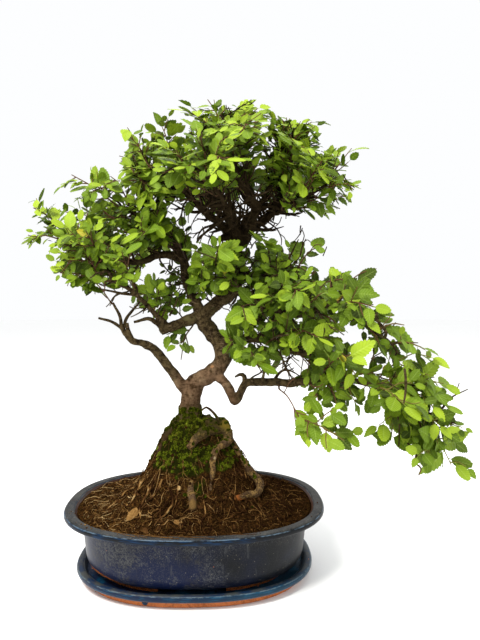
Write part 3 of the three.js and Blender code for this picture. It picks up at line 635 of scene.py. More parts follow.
class Sheet:
    """One material on the worktop: its nodes are added here."""

    def __init__(self, name: str) -> None:
        """Starts a material with a plain shader."""
        self.material = bpy.data.materials.new(name)
        self.material.use_nodes = True
        self.tree = self.material.node_tree
        self.shader = self.tree.nodes["Principled BSDF"]
        place = self.add("ShaderNodeTexCoord").outputs["Object"]
        self.place = place
        parts = self.add("ShaderNodeSeparateXYZ", inputs={"Vector": place}).outputs
        self.x, self.y, self.z = (Value(self, part) * (1 / MM) for part in parts)

    def add(self, kind: str, settings: dict | None = None, inputs: dict | None = None) -> bpy.types.Node:
        """Adds a node.

        Args:
            kind: the node's type.
            settings: its settings, set first. A ramp's stops are pairs of place and colour.
            inputs: for each input, by name or number, a value, a link or a Value.

        Returns:
            The node.
        """
        node = self.tree.nodes.new(kind)
        for setting, value in (settings or {}).items():
            if setting == "stops":
                ramp = node.color_ramp.elements
                while len(ramp) < len(value):
                    ramp.new(1)
                for stop, (position, colour) in zip(ramp, value):
                    stop.position = position
                    stop.color = colour
            else:
                setattr(node, setting, value)
        for name, value in (inputs or {}).items():
            self.feed(node.inputs[name], value)
        return node

    def feed(self, target: Socket, value: object) -> None:
        """Gives a socket a plain value, a link or a Value."""
        source = value.socket if isinstance(value, Value) else value
        if isinstance(source, Socket):
            self.tree.links.new(source, target)
        else:
            target.default_value = source

    def noise(self, size: float, detail: float = 3.0, rough: float = 0.5, warp: float = 0.0,
              stretch: Place = (1, 1, 1)) -> Value:
        """Cloudy values round 0.5.

        Args:
            size: how large the lumps are, in millimetres.
            detail: how many finer layers there are.
            rough: how strong each finer layer is.
            warp: how much the lumps curl.
            stretch: how far they are drawn out along each axis.

        Returns:
            The values.
        """
        place = self.place
        if stretch != (1, 1, 1):
            inputs = {"Vector": place, "Scale": tuple(1 / part for part in stretch)}
            place = self.add("ShaderNodeMapping", inputs=inputs).outputs["Vector"]
        inputs = {"Vector": place, "Scale": 1 / (size * MM), "Detail": detail, "Roughness": rough}
        node = self.add("ShaderNodeTexNoise", inputs=inputs | {"Distortion": warp})
        return Value(self, node.outputs["Fac"])

    def cells(self, size: float) -> Value:
        """The distance to scattered points about a size in millimetres apart."""
        inputs = {"Vector": self.place, "Scale": 1 / (size * MM)}
        return Value(self, self.add("ShaderNodeTexVoronoi", inputs=inputs).outputs["Distance"])

    def attribute(self, name: str) -> Value:
        """A number that the mesh carries."""
        return Value(self, self.add("ShaderNodeAttribute", {"attribute_name": name}).outputs["Fac"])

    def mixed(self, share: object, first: object, second: object) -> Socket:
        """The first colour at share 0 and the second at 1."""
        settings = {"data_type": "RGBA", "clamp_factor": True}
        return self.add("ShaderNodeMix", settings, {0: share, 6: first, 7: second}).outputs[2]

    def layered(self, base: object, *coats: tuple[object, object]) -> Socket:
        """Lays coats over a colour, one after another.

        Args:
            base: the colour underneath.
            coats: for each coat, how far it covers, from 0 to 1, and its colour.

        Returns:
            The colour that shows.
        """
        for share, colour in coats:
            base = self.mixed(share, base, colour)
        return base

    def ramp(self, value: Value, *stops: tuple[float, Colour]) -> Socket:
        """Colours by a value."""
        return self.add("ShaderNodeValToRGB", {"stops": stops}, {"Fac": value}).outputs["Color"]

    def bump(self, height: Value, depth: float, strength: float = 1.0) -> Socket:
        """A relief of a depth in millimetres."""
        inputs = {"Height": height, "Distance": depth * MM, "Strength": strength}
        return self.add("ShaderNodeBump", inputs=inputs).outputs["Normal"]

    def dress(self, colour: object, rough: object, normal: object = None, **constants: float) -> Look:
        """Connects the shader.

        Args:
            colour: the base colour.
            rough: the roughness.
            normal: the relief, if there is one.
            constants: other sockets, each set on the shader itself, with _ for a space.

        Returns:
            The finished material.
        """
        wanted = {"Base Color": colour, "Roughness": rough, "Normal": normal} | constants
        for name, value in wanted.items():
            if value is not None:
                self.feed(self.shader.inputs[name.replace("_", " ")], value)
        return self.material


@dataclass(frozen=True)
class PotGlaze:
    """Deep navy gloss glaze, cobalt on the lip, with dust, a painted highlight along the rim's crest,
    painted shade towards the right side, chips and a bare foot.
    """

    navy: Colour = srgb(11, 20, 48)
    # Near black glaze tone; it also serves as painted shade on the body's and the lip's right side.
    ink: Colour = srgb(12, 14, 17)
    dust: Colour = srgb(74, 75, 76)
    cobalt: Colour = srgb(10, 36, 62)
    rim_grey: Colour = srgb(58, 58, 56)
    crest_highlight: Colour = srgb(80, 98, 112)
    clay: Colour = srgb(150, 84, 40)
    clay_dark: Colour = srgb(60, 36, 20)
    film: Colour = srgb(48, 46, 40)
    speck: Colour = srgb(128, 122, 108)
    chip: Colour = srgb(176, 96, 48)
    clay_line: float = 13.4
    lip: float = 62.0
    crest: float = 67.3
    crack: Spot = (-109.0, -3.0)

    def material(self) -> Look:
        """The glaze as a material."""
        sheet = Sheet("navy_glaze")
        cloud = sheet.noise(34, 5, 0.62)
        fine = sheet.noise(2.2, 4, 0.7)
        grain = sheet.noise(0.7, 2, 0.5)
        # painted shade: the body turns towards ink on its right side, away from the light; it also
        # darkens towards the top
        shade = sheet.x * 0.0032 + sheet.z * 0.004 + sheet.noise(44, 3) * 0.9
        film = (sheet.noise(26, 4, 0.7) + sheet.z * 0.0022 - sheet.x * 0.0009).between(0.56, 0.74)
        # real dust, laid thinner towards the right side as painted shade, so the left side reads lighter
        dust_and_side_shade = (cloud + grain * 0.5 - sheet.x * 0.0012).between(0.76, 0.92) * fine.between(0.42, 0.6)
        runs = sheet.noise(4.5, 3, 0.6, stretch=(1, 1, 5)).between(0.6, 0.72)
        # dusty band under the lip, real dust thinned towards the right side as painted shade
        lip_dust_and_side_shade = (sheet.z + cloud * 24 - sheet.x * 0.06).between(50, 68) * 0.5 + 0.18
        specks = (sheet.cells(4.4) + grain * 0.1).between(0.15, 0.09)
        body = sheet.layered(
            self.navy,
            (shade.between(0.42, 0.9), self.ink),
            (film * fine.between(0.36, 0.6) * 0.6, self.film),
            (dust_and_side_shade * 0.75, self.dust),
            (runs * 0.3, self.dust),
            (lip_dust_and_side_shade * grain.between(0.52, 0.66), self.dust),
            (specks * 0.8, self.speck),
        )
        lip = (sheet.z + fine * 1.4).between(self.lip - 0.6, self.lip + 0.6)
        streak = sheet.noise(1.6, 3, 0.6, stretch=(9, 9, 0.7))
        blue = sheet.mixed(streak.between(0.42, 0.62), self.ink, self.cobalt)
        # painted shade: the lip darkens to ink on its right side
        blue = sheet.mixed((sheet.x + cloud * 50).between(50, 100), blue, self.ink)
        # painted highlight: a broken light line along the rim's crest
        edge = abs(sheet.z - self.crest + fine * 1.2).between(0.55, 0.1)
        edge = edge * sheet.noise(7, 4).between(0.36, 0.56)
        top = (sheet.z + fine * 0.8).between(self.crest, RIM_TOP)
        crack = abs(sheet.y - self.crack[1] + fine * 3).between(0.8, 0.3)
        crack = crack * sheet.x.between(self.crack[0] + 1, self.crack[0] - 1)
        matt = sheet.layered(
            self.rim_grey,
            ((cloud * 0.6 + grain * 0.8).between(0.55, 0.85), self.ink),
            ((fine * 0.6 + grain * 0.5).between(0.6, 0.7) * 0.5, self.speck),
            (crack * 0.8, self.clay_dark),
        )
        chips = (sheet.cells(15) + fine * 0.06).between(0.07, 0.05) * sheet.noise(13).between(0.46, 0.5)
        clinging = sheet.attribute("inside") * (fine + cloud).between(0.7, 1.1)
        wander = sheet.noise(16, 3) * 2.4 - 1.2 - sheet.x.between(-40, -96) * 7
        bare = (sheet.z + wander).between(self.clay_line + 0.3, self.clay_line - 0.3)
        clay = sheet.mixed((fine + grain).between(0.9, 1.15), self.clay, self.clay_dark)
        colour = sheet.layered(
            body, (lip, blue), (edge * 0.85, self.crest_highlight), (top * 0.92, matt), (chips, self.chip),
            (clinging, self.clay_dark), (bare, clay),
        )
        rough = (0.2 + cloud * 0.22 + fine * 0.12 + top * 0.2 + specks * 0.3).clamped()
        rough = rough * (1 - bare) + bare * 0.85
        relief = sheet.bump(cloud * 0.5 + fine * 0.25 + grain * bare * 0.4 + chips * -0.6, 0.35, 0.6)
        return sheet.dress(colour, rough, relief, Specular_IOR_Level=0.12)


@dataclass(frozen=True)
class SaucerGlaze:
    """Navy to teal gloss glaze on the rolled rim, grey on its crest with a painted highlight line, bare
    terracotta below.
    """

    navy: Colour = srgb(12, 26, 50)
    teal: Colour = srgb(9, 42, 60)
    crest: Colour = srgb(56, 58, 54)
    streak: Colour = srgb(16, 70, 96)
    crest_highlight: Colour = srgb(88, 104, 112)
    terracotta: Colour = srgb(186, 108, 62)
    terracotta_dark: Colour = srgb(130, 70, 36)
    chip: Colour = srgb(170, 100, 60)
    glaze_line: float = 5.9
    crest_line: float = 13.6
    drip: float = -41.0

    def material(self) -> Look:
        """The glaze as a material."""
        sheet = Sheet("teal_glaze")
        cloud = sheet.noise(22, 4, 0.6)
        fine = sheet.noise(2.0, 4, 0.7)
        streak = sheet.noise(1.5, 3, 0.6, stretch=(10, 10, 0.7))
        crest = (sheet.z + fine * 1.6 - sheet.x * 0.006).between(13.1, 14.4)
        # painted highlight: a broken light line along the crest of the roll
        line = abs(sheet.z - self.crest_line + fine * 1.4).between(0.5, 0.1)
        line = line * sheet.noise(7, 4).between(0.38, 0.56)
        wander = sheet.noise(11, 3) * 1.6 - 0.8
        drip = abs(sheet.x - self.drip).between(4.4, 1.0) * (sheet.y * -1).between(20, 40) * 4.6
        bare = (sheet.z + wander + drip).between(self.glaze_line + 0.2, self.glaze_line - 0.2)
        fired = (fine * 0.8 + cloud * 0.4).between(0.5, 0.8)
        clay = sheet.mixed(fired, self.terracotta, self.terracotta_dark)
        colour = sheet.layered(
            self.navy,
            ((sheet.x * 0.006 + cloud).between(0.25, 0.95), self.teal),
            (streak.between(0.5, 0.62) * 0.6, self.streak),
            (crest * 0.85, sheet.mixed(streak.between(0.4, 0.6), self.crest, self.navy)),
            (line * 0.6, self.crest_highlight),
            (sheet.cells(17).between(0.05, 0.03), self.chip),
            (bare, clay),
        )
        rough = (0.2 + fine * 0.2 + crest * 0.15) * (1 - bare) + bare * 0.8
        relief = sheet.bump(cloud * 0.6 + fine * 0.3, 0.35, 0.6)
        return sheet.dress(colour, rough, relief, Specular_IOR_Level=0.16)


@dataclass(frozen=True)
class SoilFinish:
    """Dark fibrous potting soil that is green under the moss, with painted shade darkening it towards
    the right.
    """

    black: Colour = srgb(20, 10, 4)
    brown: Colour = srgb(48, 31, 14)
    rust: Colour = srgb(94, 60, 26)
    straw: Colour = srgb(118, 92, 44)
    green: Colour = srgb(30, 32, 7)

    def material(self) -> Look:
        """The soil as a material."""
        sheet = Sheet("soil")
        lumps = sheet.noise(5, 4, 0.65)
        fine = sheet.noise(1.2, 4, 0.7)
        fibres = sheet.noise(2.6, 3, 0.6, 2.5, stretch=(1, 1, 4))
        earth = sheet.ramp(
            lumps * 0.45 + fine * 0.65, (0.48, self.black), (0.57, self.brown), (0.7, self.rust)
        )
        strands = fibres.between(0.57, 0.64) * fine.between(0.4, 0.55)
        colour = sheet.layered(
            earth,
            (strands * 0.7, self.straw),
            # painted shade: the soil darkens towards the mound's right side
            ((sheet.x + lumps * 60).between(-30, 120) * 0.5, self.black),
            ((sheet.attribute("mossy") + fine * 0.5).between(0.5, 0.9), self.green),
        )
        relief = sheet.bump(lumps + fine * 0.9 + fibres * 0.4, 2.2, 1.0)
        return sheet.dress(colour, 0.94, relief, Specular_IOR_Level=0.0)


@dataclass(frozen=True)
class MossFinish:
    """Moss fronds, dark at the foot and bright at the tips."""

    deep: Colour = srgb(24, 28, 4)
    middle: Colour = srgb(66, 76, 12)
    bright: Colour = srgb(128, 140, 38)
    brown: Colour = srgb(84, 64, 28)

    def material(self) -> Look:
        """The moss as a material."""
        sheet = Sheet("moss")
        patch = sheet.noise(7, 3, 0.6)
        tip = sheet.attribute("tone")
        tone = tip * 0.85 + patch * 1.0 + sheet.noise(1.8, 2) * 0.8 - 0.7
        tone = tone - (sheet.z + patch * 30).between(128, 160) * 0.1
        colour = sheet.ramp(tone, (0.15, self.deep), (0.5, self.middle), (0.95, self.bright))
        old = (sheet.z + patch * 30).between(138, 160) * 0.5 + sheet.x.between(0, 30) * 0.35
        old = old * tip.between(0.2, 0.7) * sheet.noise(3, 3).between(0.4, 0.6)
        return sheet.dress(sheet.mixed(old, colour, self.brown), 0.85, Specular_IOR_Level=0.0)


@dataclass(frozen=True)
class FibreFinish:
    """Rootlets, straw, crumbs and other small matter on the soil, each with its own tone."""

    dark: Colour = srgb(32, 18, 8)
    brown: Colour = srgb(72, 48, 25)
    gold: Colour = srgb(128, 96, 54)
    pale: Colour = srgb(172, 148, 104)

    def material(self) -> Look:
        """The fibres as a material."""
        sheet = Sheet("fibre")
        fine = sheet.noise(1.5, 3, 0.6)
        tone = sheet.attribute("tone") + fine * 0.7 - 0.37 - sheet.x * 0.0014
        stops = ((0.1, self.dark), (0.45, self.brown), (0.75, self.gold), (1.0, self.pale))
        colour = sheet.ramp(tone, *stops)
        return sheet.dress(colour, 0.88, sheet.bump(fine, 0.2, 0.6), Specular_IOR_Level=0.0)


@dataclass(frozen=True)
class BarkFinish:
    """Bark: smooth and brown-grey low on the trunk, rough and olive above, mossy at the foot, with
    painted shade on the trunk's right side and on the boughs under the crown.
    """

    smooth: Colour = srgb(102, 80, 60)
    shade: Colour = srgb(47, 33, 17)
    olive: Colour = srgb(76, 64, 42)
    dark: Colour = srgb(30, 22, 12)
    pale: Colour = srgb(136, 114, 88)
    lichen: Colour = srgb(104, 98, 62)
    earth: Colour = srgb(46, 32, 16)
    gold: Colour = srgb(128, 102, 60)
    moss: Colour = srgb(40, 42, 10)
    smooth_top: float = 205.0
    moss_top: float = 167.0

    def material(self) -> Look:
        """The bark as a material."""
        sheet = Sheet("bark")
        broad = sheet.noise(16, 4, 0.6)
        patch = sheet.noise(5, 4, 0.65)
        fine = sheet.noise(1.4, 4, 0.7)
        rings = sheet.noise(2.2, 3, 0.6, 0.6, stretch=(3, 3, 1))
        cracks = sheet.noise(2.4, 4, 0.7, 0.5, stretch=(1, 1, 2.6)).between(0.58, 0.66)
        low = sheet.layered(
            self.smooth,
            ((patch * 0.6 + rings * 0.5).between(0.42, 0.7), self.shade),
            (broad.between(0.52, 0.7) * 0.5, self.pale),
            (cracks * 0.4, self.dark),
            # painted shade: the trunk's right side darkens low down
            (sheet.x.between(-4, 6) * sheet.z.between(190, 176) * 0.45, self.shade),
        )
        high = sheet.layered(
            self.olive,
            ((patch * 0.7 + fine * 0.45).between(0.46, 0.7), self.dark),
            (rings.between(0.58, 0.7) * 0.45, self.pale),
            ((broad * 0.7 + patch * 0.4).between(0.62, 0.74) * 0.5, self.lichen),
            # painted shade: the boughs darken towards the crown, where the leaves shade them
            ((sheet.z + patch * 60).between(300, 370) * 0.75, self.dark),
        )
        along = sheet.x.between(26, 48) * 42 + sheet.x.between(-10, -24) * 20
        climb = (sheet.z + along + patch * 30 - 15).between(self.smooth_top - 12, self.smooth_top + 22)
        foot = (sheet.z + patch * 26 - 13).between(self.moss_top + 4, self.moss_top - 12)
        knots = sheet.z.between(150, 140) * sheet.x.between(-24, -14)
        knots = knots * (patch * 0.7 + fine * 0.5).between(0.58, 0.7)
        pits = sheet.z.between(152, 142) * (fine * 0.8 + patch * 0.2).between(0.5, 0.4)
        green = foot * (fine * 0.6 + broad * 0.7).between(0.46, 0.64) * sheet.z.between(130, 146)
        colour = sheet.layered(
            low,
            (climb, high),
            (foot * (patch + fine * 0.6).between(0.55, 0.95) * 0.6, self.earth),
            (sheet.x.between(-22, -30) * sheet.z.between(146, 136) * 0.8, self.earth),
            (knots * 0.7, self.gold),
            (pits * 0.8, self.dark),
            (green * 0.6, self.moss),
        )
        for x, y, z, reach, mark in MARKS:
            away = abs(sheet.x - x) + abs(sheet.y - y) + abs(sheet.z - z) + fine * reach
            share = away.between(reach * 2.1, reach * 1.3) * (fine + 0.3)
            colour = sheet.mixed(share, colour, srgb(*mark))
        relief = sheet.bump(patch * 0.7 + fine * 0.5 + rings * 0.6, 0.9, 0.85)
        return sheet.dress(colour, 0.86, relief, Specular_IOR_Level=0.03)


@dataclass(frozen=True)
class TwigFinish:
    """Young twigs: reddish brown, greener and lighter towards their tips."""

    brown: Colour = srgb(58, 42, 28)
    red: Colour = srgb(94, 64, 40)
    green: Colour = srgb(120, 126, 48)

    def material(self) -> Look:
        """The twig bark as a material."""
        sheet = Sheet("twig")
        fine = sheet.noise(2.4, 3, 0.6)
        tone = sheet.attribute("tone") * 0.9 + fine * 0.4 - 0.2
        colour = sheet.ramp(tone, (0.2, self.brown), (0.6, self.red), (1.0, self.green))
        return sheet.dress(colour, 0.7, sheet.bump(fine, 0.15, 0.5), Specular_IOR_Level=0.15)


@dataclass(frozen=True)
class LeafFinish:
    """Leaves: satin green, each with its own tone, a pale midrib and sunk side veins."""

    deep: Colour = srgb(44, 57, 8)
    middle: Colour = srgb(93, 119, 18)
    bright: Colour = srgb(151, 174, 42)
    yellow: Colour = srgb(164, 152, 40)
    vein: Colour = srgb(190, 214, 110)
    veins: float = 8.0

    def material(self) -> Look:
        """The leaf as a material."""
        sheet = Sheet("leaf")
        uv = sheet.add("ShaderNodeUVMap", {"uv_map": "leaf_map"}).outputs["UV"]
        parts = sheet.add("ShaderNodeSeparateXYZ", inputs={"Vector": uv}).outputs
        across, along = Value(sheet, parts["X"]), Value(sheet, parts["Y"])
        side = abs(across - 0.5) * 2
        cloud = sheet.noise(9, 3, 0.6)
        tone = sheet.attribute("tone") + cloud * 0.2 - 0.1
        stops = ((0.05, self.deep), (0.45, self.middle), (0.84, self.bright), (1.0, self.yellow))
        colour = sheet.ramp(tone, *stops)
        stripes = ((along - side * 0.16) * (2 * math.pi * self.veins)).wave()
        vein = stripes.between(0.72, 0.98) * side.between(1.0, 0.8)
        rib = side.between(0.13, 0.04)
        line = (vein * 0.4 + rib * 0.8).clamped()
        light = sheet.mixed(0.35, colour, self.vein)
        colour = sheet.mixed(line * 0.45, colour, light)
        relief = sheet.bump(stripes * -0.5 - rib * 0.8, 0.35, 0.7)
        return sheet.dress(colour, 0.4 + cloud * 0.16, relief, Specular_IOR_Level=0.14)


@dataclass(frozen=True)
class NetFinish:
    """Black moulded net."""

    black: Colour = srgb(26, 26, 27)
    scuffed: Colour = srgb(58, 56, 52)

    def material(self) -> Look:
        """The net as a material."""
        sheet = Sheet("net_plastic")
        fine = sheet.noise(1.6, 3, 0.6)
        colour = sheet.mixed(fine.between(0.5, 0.7), self.black, self.scuffed)
        return sheet.dress(colour, 0.5 + fine * 0.2, sheet.bump(fine, 0.1, 0.4))


def skin(piece: Piece) -> Surface:
    """A piece's surface, in metres, for finding where a line meets it."""
    faces = [face.vertices for face in piece.data.polygons]
    return Surface.FromPolygons([vertex.co for vertex in piece.data.vertices], faces)


def met_below(surface: Surface, x: float, y: float, height: float) -> tuple[Vector, Vector] | None:
    """Where a surface is met straight below a place, in millimetres, and its upright there."""
    point, normal, _, _ = surface.ray_cast(Vector((x * MM, y * MM, height * MM)), DOWN)
    return (point / MM, normal) if point else None


@dataclass
class Saucer:
    """The drip saucer: flat underside, bare band, rolled rim and a flat floor."""

    look: Look
    reach: float = 118.2
    band_reach: float = 109.3
    top: float = 14.0
    floor: float = 7.0
    level: float = 2.0
    sides: int = 144

    def profile(self) -> list[Pair]:
        """The section from the underside's middle round to the floor's."""
        band, rim, top, floor = self.band_reach, self.reach, self.top, self.floor
        return section(
            (20, 0), (band - 2, 0), ((band, 0), (band, 1.6), 3), (band, 3.4), (band, 5.2),
            ((band + 0.4, 6.4), (band + 4, 6.6), 4), ((rim, 7), (rim, 10.8), 6),
            ((rim, top), (rim - 4, top), 6), ((rim - 8, top), (rim - 9.6, 9), 6),
            ((rim - 10.4, floor), (rim - 14, floor), 4), (80, floor), (30, floor),
        )

    def build(self) -> Piece:
        """Turns the saucer and presses it oval, a little uneven as thrown clay is."""
        piece = turned("saucer_glazed", self.profile(), self.sides)

        def pressed(point: Vector) -> Vector:
            """A round point's place on the finished saucer."""
            place = oval(point)
            if point.z > self.level:
                place.z += 0.25 * noise.noise(Vector((place.x, place.y, 0)) / 38)
            return place

        moved(piece, pressed)
        coated(piece, self.look, EDGE_ANGLE)
        return finished(piece, "teal_glaze", "saucer")


@dataclass
class Pot:
    """The oval pot: foot ring with its gaps, full body, drawn-in neck, flat rim, drained floor."""

    look: Look
    seat: float = 7.3
    floor_top: float = 17.5
    body_bottom: float = 12.6
    body_top: float = 55.0
    body_reach: float = 112.5
    foot_reach: float = 95.0
    foot_width: float = 9.0
    foot_gap: float = 62.0
    drain_radius: float = 7.0
    drain_from_middle: float = 45.0
    rim_inner: float = 120.0
    belly: Pair = (20.0, 60.0)
    sides: int = 144

    def profile(self) -> list[Pair]:
        """The section from the underside's middle, over the rim, to the floor's."""
        foot, base, seat, body = self.foot_reach, self.body_bottom, self.seat, self.body_reach
        ring, inner, floor = foot - self.foot_width, self.rim_inner, self.floor_top
        rim, top = RIM_REACH, RIM_TOP
        return section(
            (20, base), (ring, base), (ring + 0.3, seat + 1.2),
            ((ring + 0.4, seat), (ring + 1.8, seat), 2), (foot - 1.5, seat),
            ((foot, seat), (foot, seat + 1.5), 2), ((foot + 0.6, base), (foot + 4, base), 4),
            ((body - 4.5, 14.5), (body - 3, 26), 8), ((body - 1.2, 42), (body, self.body_top), 8),
            ((body + 1, 61), (rim - 6, 61.6), 6), (rim - 3, 61.7), ((rim + 0.4, 61.9), (rim, 65), 5),
            ((rim - 0.4, top), (rim - 4, top), 5), (rim - 7, top - 0.1), (inner + 1.4, top),
            ((inner, top), (inner - 0.6, top - 1.6), 4), (inner - 3, 64), (inner - 13, self.body_top),
            (body - 7.5, 24), (body - 14.5, floor), (80, floor), (12, floor),
        )

    def cut(self, piece: Piece, cutter: Piece) -> None:
        """Cuts one shape out of the pot and throws it away."""
        modified(piece, "BOOLEAN", operation="DIFFERENCE", solver="EXACT", object=cutter)
        bpy.data.objects.remove(cutter)

    def build(self) -> Piece:
        """Turns the pot, presses it oval, and cuts the foot's gaps and the drain holes."""
        piece = turned("pot_glazed", self.profile(), self.sides)
        low, high = self.belly

        def pressed(point: Vector) -> Vector:
            """A round point's place on the finished pot: its belly swells a little here and there."""
            place = oval(point)
            swell = 0.35 * noise.noise(place / 46) / RIM_REACH if low < point.z < high else 0
            return place * (1 + swell)

        moved(piece, pressed)
        gap = shape("cube", size=MM, location=(0, 0, self.seat * MM))
        gap.scale = (self.foot_gap, 3 * RIM_REACH, 2 * (self.body_bottom - 0.3 - self.seat))
        bpy.ops.object.transform_apply()
        self.cut(piece, gap)
        for middle in (-self.drain_from_middle, self.drain_from_middle):
            self.cut(piece, shape(
                "cylinder", vertices=32, radius=self.drain_radius * MM, depth=2 * self.floor_top * MM,
                location=(middle * MM, 0, self.floor_top * MM),
            ))
        marked(piece, "inside", [self.inside(vertex) for vertex in piece.data.vertices])
        coated(piece, self.look, EDGE_ANGLE)
        return finished(piece, "navy_glaze", "pot")

    def inside(self, vertex: bpy.types.MeshVertex) -> float:
        """Whether a vertex is on the pot's inner wall, where soil clings."""
        turned_in = vertex.normal.x * vertex.co.x + vertex.normal.y * vertex.co.y < 0
        return float(turned_in and (self.body_top - 5) * MM < vertex.co.z < (RIM_TOP - 1) * MM)


@dataclass
class Mound:
    """The soil: the pot's fill and the mound that the tree stands on."""

    look: Look
    edge_height: float = 64.9
    edge_reach: float = 117.4
    floor: float = 17.8
    extra_depth: float = 0.18
    lean: float = 3.0
    top_shift: float = 6.0
    lumps: tuple[Pair, ...] = ((3.4, 14), (2.6, 6.5), (1.3, 2.8))
    sides: int = 232
    rings: int = 124
    skin: Surface | None = None

    def share(self, reach: float, height: float) -> float:
        """How far up the mound a ring is: 0 at the pot's wall and 1 at the top."""
        return max(0.0, 1 - reach / self.edge_reach) if height > self.edge_height else 0.0

    def profile(self) -> list[Pair]:
        """The section from the floor's middle, up the wall and over the mound."""
        wall = [(20, self.floor), (97.4, self.floor + 0.1), (104.4, 24.2), (106.4, 54.8)]
        wall.append((self.edge_reach, self.edge_height))
        slope = [(*pair, 0.0, 0.0) for pair in [wall[-1], *MOUND]]
        fine = smooth_line(slope, 210 / self.rings)
        return wall + [(max(reach, 1.2), height) for reach, height, _, _ in fine[1:-1]]

    def mossy(self, point: Vector) -> float:
        """How thick the moss is: 1 on the front left of the mound, less behind and low down."""
        band = limited((point.z - 96 - 0.12 * abs(point.x + 8)) / 12)
        patch = noise.noise(point / 15) * 0.8 + noise.noise(point / 6) * 0.5
        front = 0.34 - 0.009 * abs(point.x + 12) - 0.004 * point.y
        low = 0.8 * max(0.0, 1 - (Vector((point.x - 4, point.y + 50)).length / 15))
        return limited(max(band * (0.6 + front + patch) - 0.14, low + 0.6 * patch - 0.1))

    def lumpy(self, point: Vector) -> Vector:
        """A round point's place on the finished soil."""
        reach = math.hypot(point.x, point.y)
        share = self.share(reach, point.z)
        place = oval(point, OVAL_DEPTH + self.extra_depth * share)
        place.x += self.lean * math.sin(math.pi * share) - self.top_shift * share ** 4
        if point.z > self.edge_height - 1:
            angle = math.atan2(place.y, place.x)
            waves = math.sin(3 * angle + 7 * share) + math.sin(5 * angle - 11 * share)
            rise = 1.6 * waves * math.sin(math.pi * share)
            rise += sum(high * noise.noise(place / size) for high, size in self.lumps)
            fade = min(1.0, 0.22 + 5 * share)
            place.z += rise * fade
            out = 2.6 * noise.noise(place / 9 + Vector((7, 3, 1))) + 1.5 * noise.noise(place / 4)
            steep = limited((share - 0.34) / 0.15)
            place.x += out * steep * math.cos(angle)
            place.y += out * steep * math.sin(angle)
        return place

    def build(self) -> Piece:
        """Turns the soil, roughens it and marks where moss grows."""
        piece = turned("soil_fill", self.profile(), self.sides)
        moved(piece, self.lumpy)
        marked(piece, "mossy", [self.mossy(vertex.co / MM) for vertex in piece.data.vertices])
        coated(piece, self.look)
        self.skin = skin(piece)
        return finished(piece, "soil", "soil")

    def ground(self, x: float, y: float) -> tuple[Vector, Vector]:
        """The soil's surface above a place, in millimetres, and its upright."""
        return met_below(self.skin, x, y, 300) or (Vector((x, y, self.edge_height)), UP)

    def laid(self, line: Sequence[Point]) -> list[Point]:
        """A line of points of x, y, lift above the soil and radius, with their heights."""
        return [(x, y, self.ground(x, y)[0].z + lift, radius) for x, y, lift, radius in line]


def copied(master: Piece, matrix: Matrix, tone: float | None = None) -> Piece:
    """A copy of a master piece with its own mesh, moved into place."""
    piece = master.copy()
    piece.data = master.data.copy()
    bpy.context.scene.collection.objects.link(piece)
    piece.data.transform(matrix)
    if tone is not None:
        toned(piece, tone)
    return piece


def standing(point: Vector, up: Vector, turn: float, size: float) -> Matrix:
    """The matrix that stands a shape on a surface, in metres, for a point in millimetres."""
    upright = up.to_track_quat("Z", "Y").to_matrix().to_4x4()
    spin = Matrix.Rotation(turn, 4, "Z")
    return Matrix.Translation(point * MM) @ upright @ spin @ Matrix.Scale(size, 4)


@dataclass
class Tree:
    """Trunk, boughs, dead snags and surface roots, as one body of bark."""

    look: Look
    mound: Mound
    voxel: float = 1.0
    thick_enough: float = 2.3
    draws: random.Random = field(default_factory=lambda: random.Random(5))

    def gnarled(self, line: Sequence[Point]) -> list[Point]:
        """A line whose girth swells and narrows a little, more at its old start."""
        wander = self.draws.uniform(0, 90)
        made = []
        for k, (x, y, z, radius) in enumerate(line):
            crooked = 0.4 if z > 325 else 0.26 if z < 150 and radius < 7 else 0.12
            swell = crooked * noise.noise(Vector((k * BOUGH_STEP / 9, wander, 0)))
            knuckle = 0.1 * noise.noise(Vector((k * BOUGH_STEP / 3, 0, wander)))
            aside = noise.noise_vector(Vector((k * BOUGH_STEP / 11, wander, 7))) * (2 * crooked * radius)
            made.append((x + aside.x, y + aside.y, z + aside.z, radius * (1 + swell + knuckle)))
        return made

    def build(self) -> Piece:
        """Joins the thick stems in one skin, roughens it, and adds the thin ones."""
        thick, thin = [], []
        lines = [*BOUGHS.values(), *DEAD_TWIGS.values(), *(self.mound.laid(root) for root in ROOTS)]
        for points in lines:
            line = self.gnarled(smooth_line(points, BOUGH_STEP))
            cut = next((k for k, point in enumerate(line) if point[3] < self.thick_enough), len(line))
            if cut > 3:
                thick.append(line[:cut])
            if cut < len(line) - 1:
                thin.append(line[max(0, cut - 3):])
        trunk = stems("thick_stems", thick, THICK_ROUND, None)
        modified(trunk, "REMESH", mode="VOXEL", voxel_size=self.voxel * MM)
        modified(trunk, "SMOOTH", factor=0.6, iterations=7)
        self.roughen(trunk)
        twigs = stems("thin_stems", thin, TWIG_ROUND, None)
        self.roughen(twigs, 0.4)
        piece = joined("tree_bark", [trunk, twigs])
        coated(piece, self.look)
        return finished(piece, "bark", "tree")

    def roughen(self, piece: Piece, share: float = 1.0) -> None:
        """Raises and sinks the bark along its uprights, more on the old wood above the first bend."""
        uprights = [vertex.normal.copy() for vertex in piece.data.vertices]
        for vertex, upright in zip(piece.data.vertices, uprights):
            place = vertex.co / MM
            old = limited(max((place.z - 195) / 25, (154 - place.z) / 10), 0.35)
            ridge = Vector((place.x, place.y, place.z * 0.5)) / 2.6
            rise = 0.55 * noise.noise(place / 6.5) + 0.4 * noise.noise(ridge)
            vertex.co += upright * rise * old * share * MM
        piece.data.update()


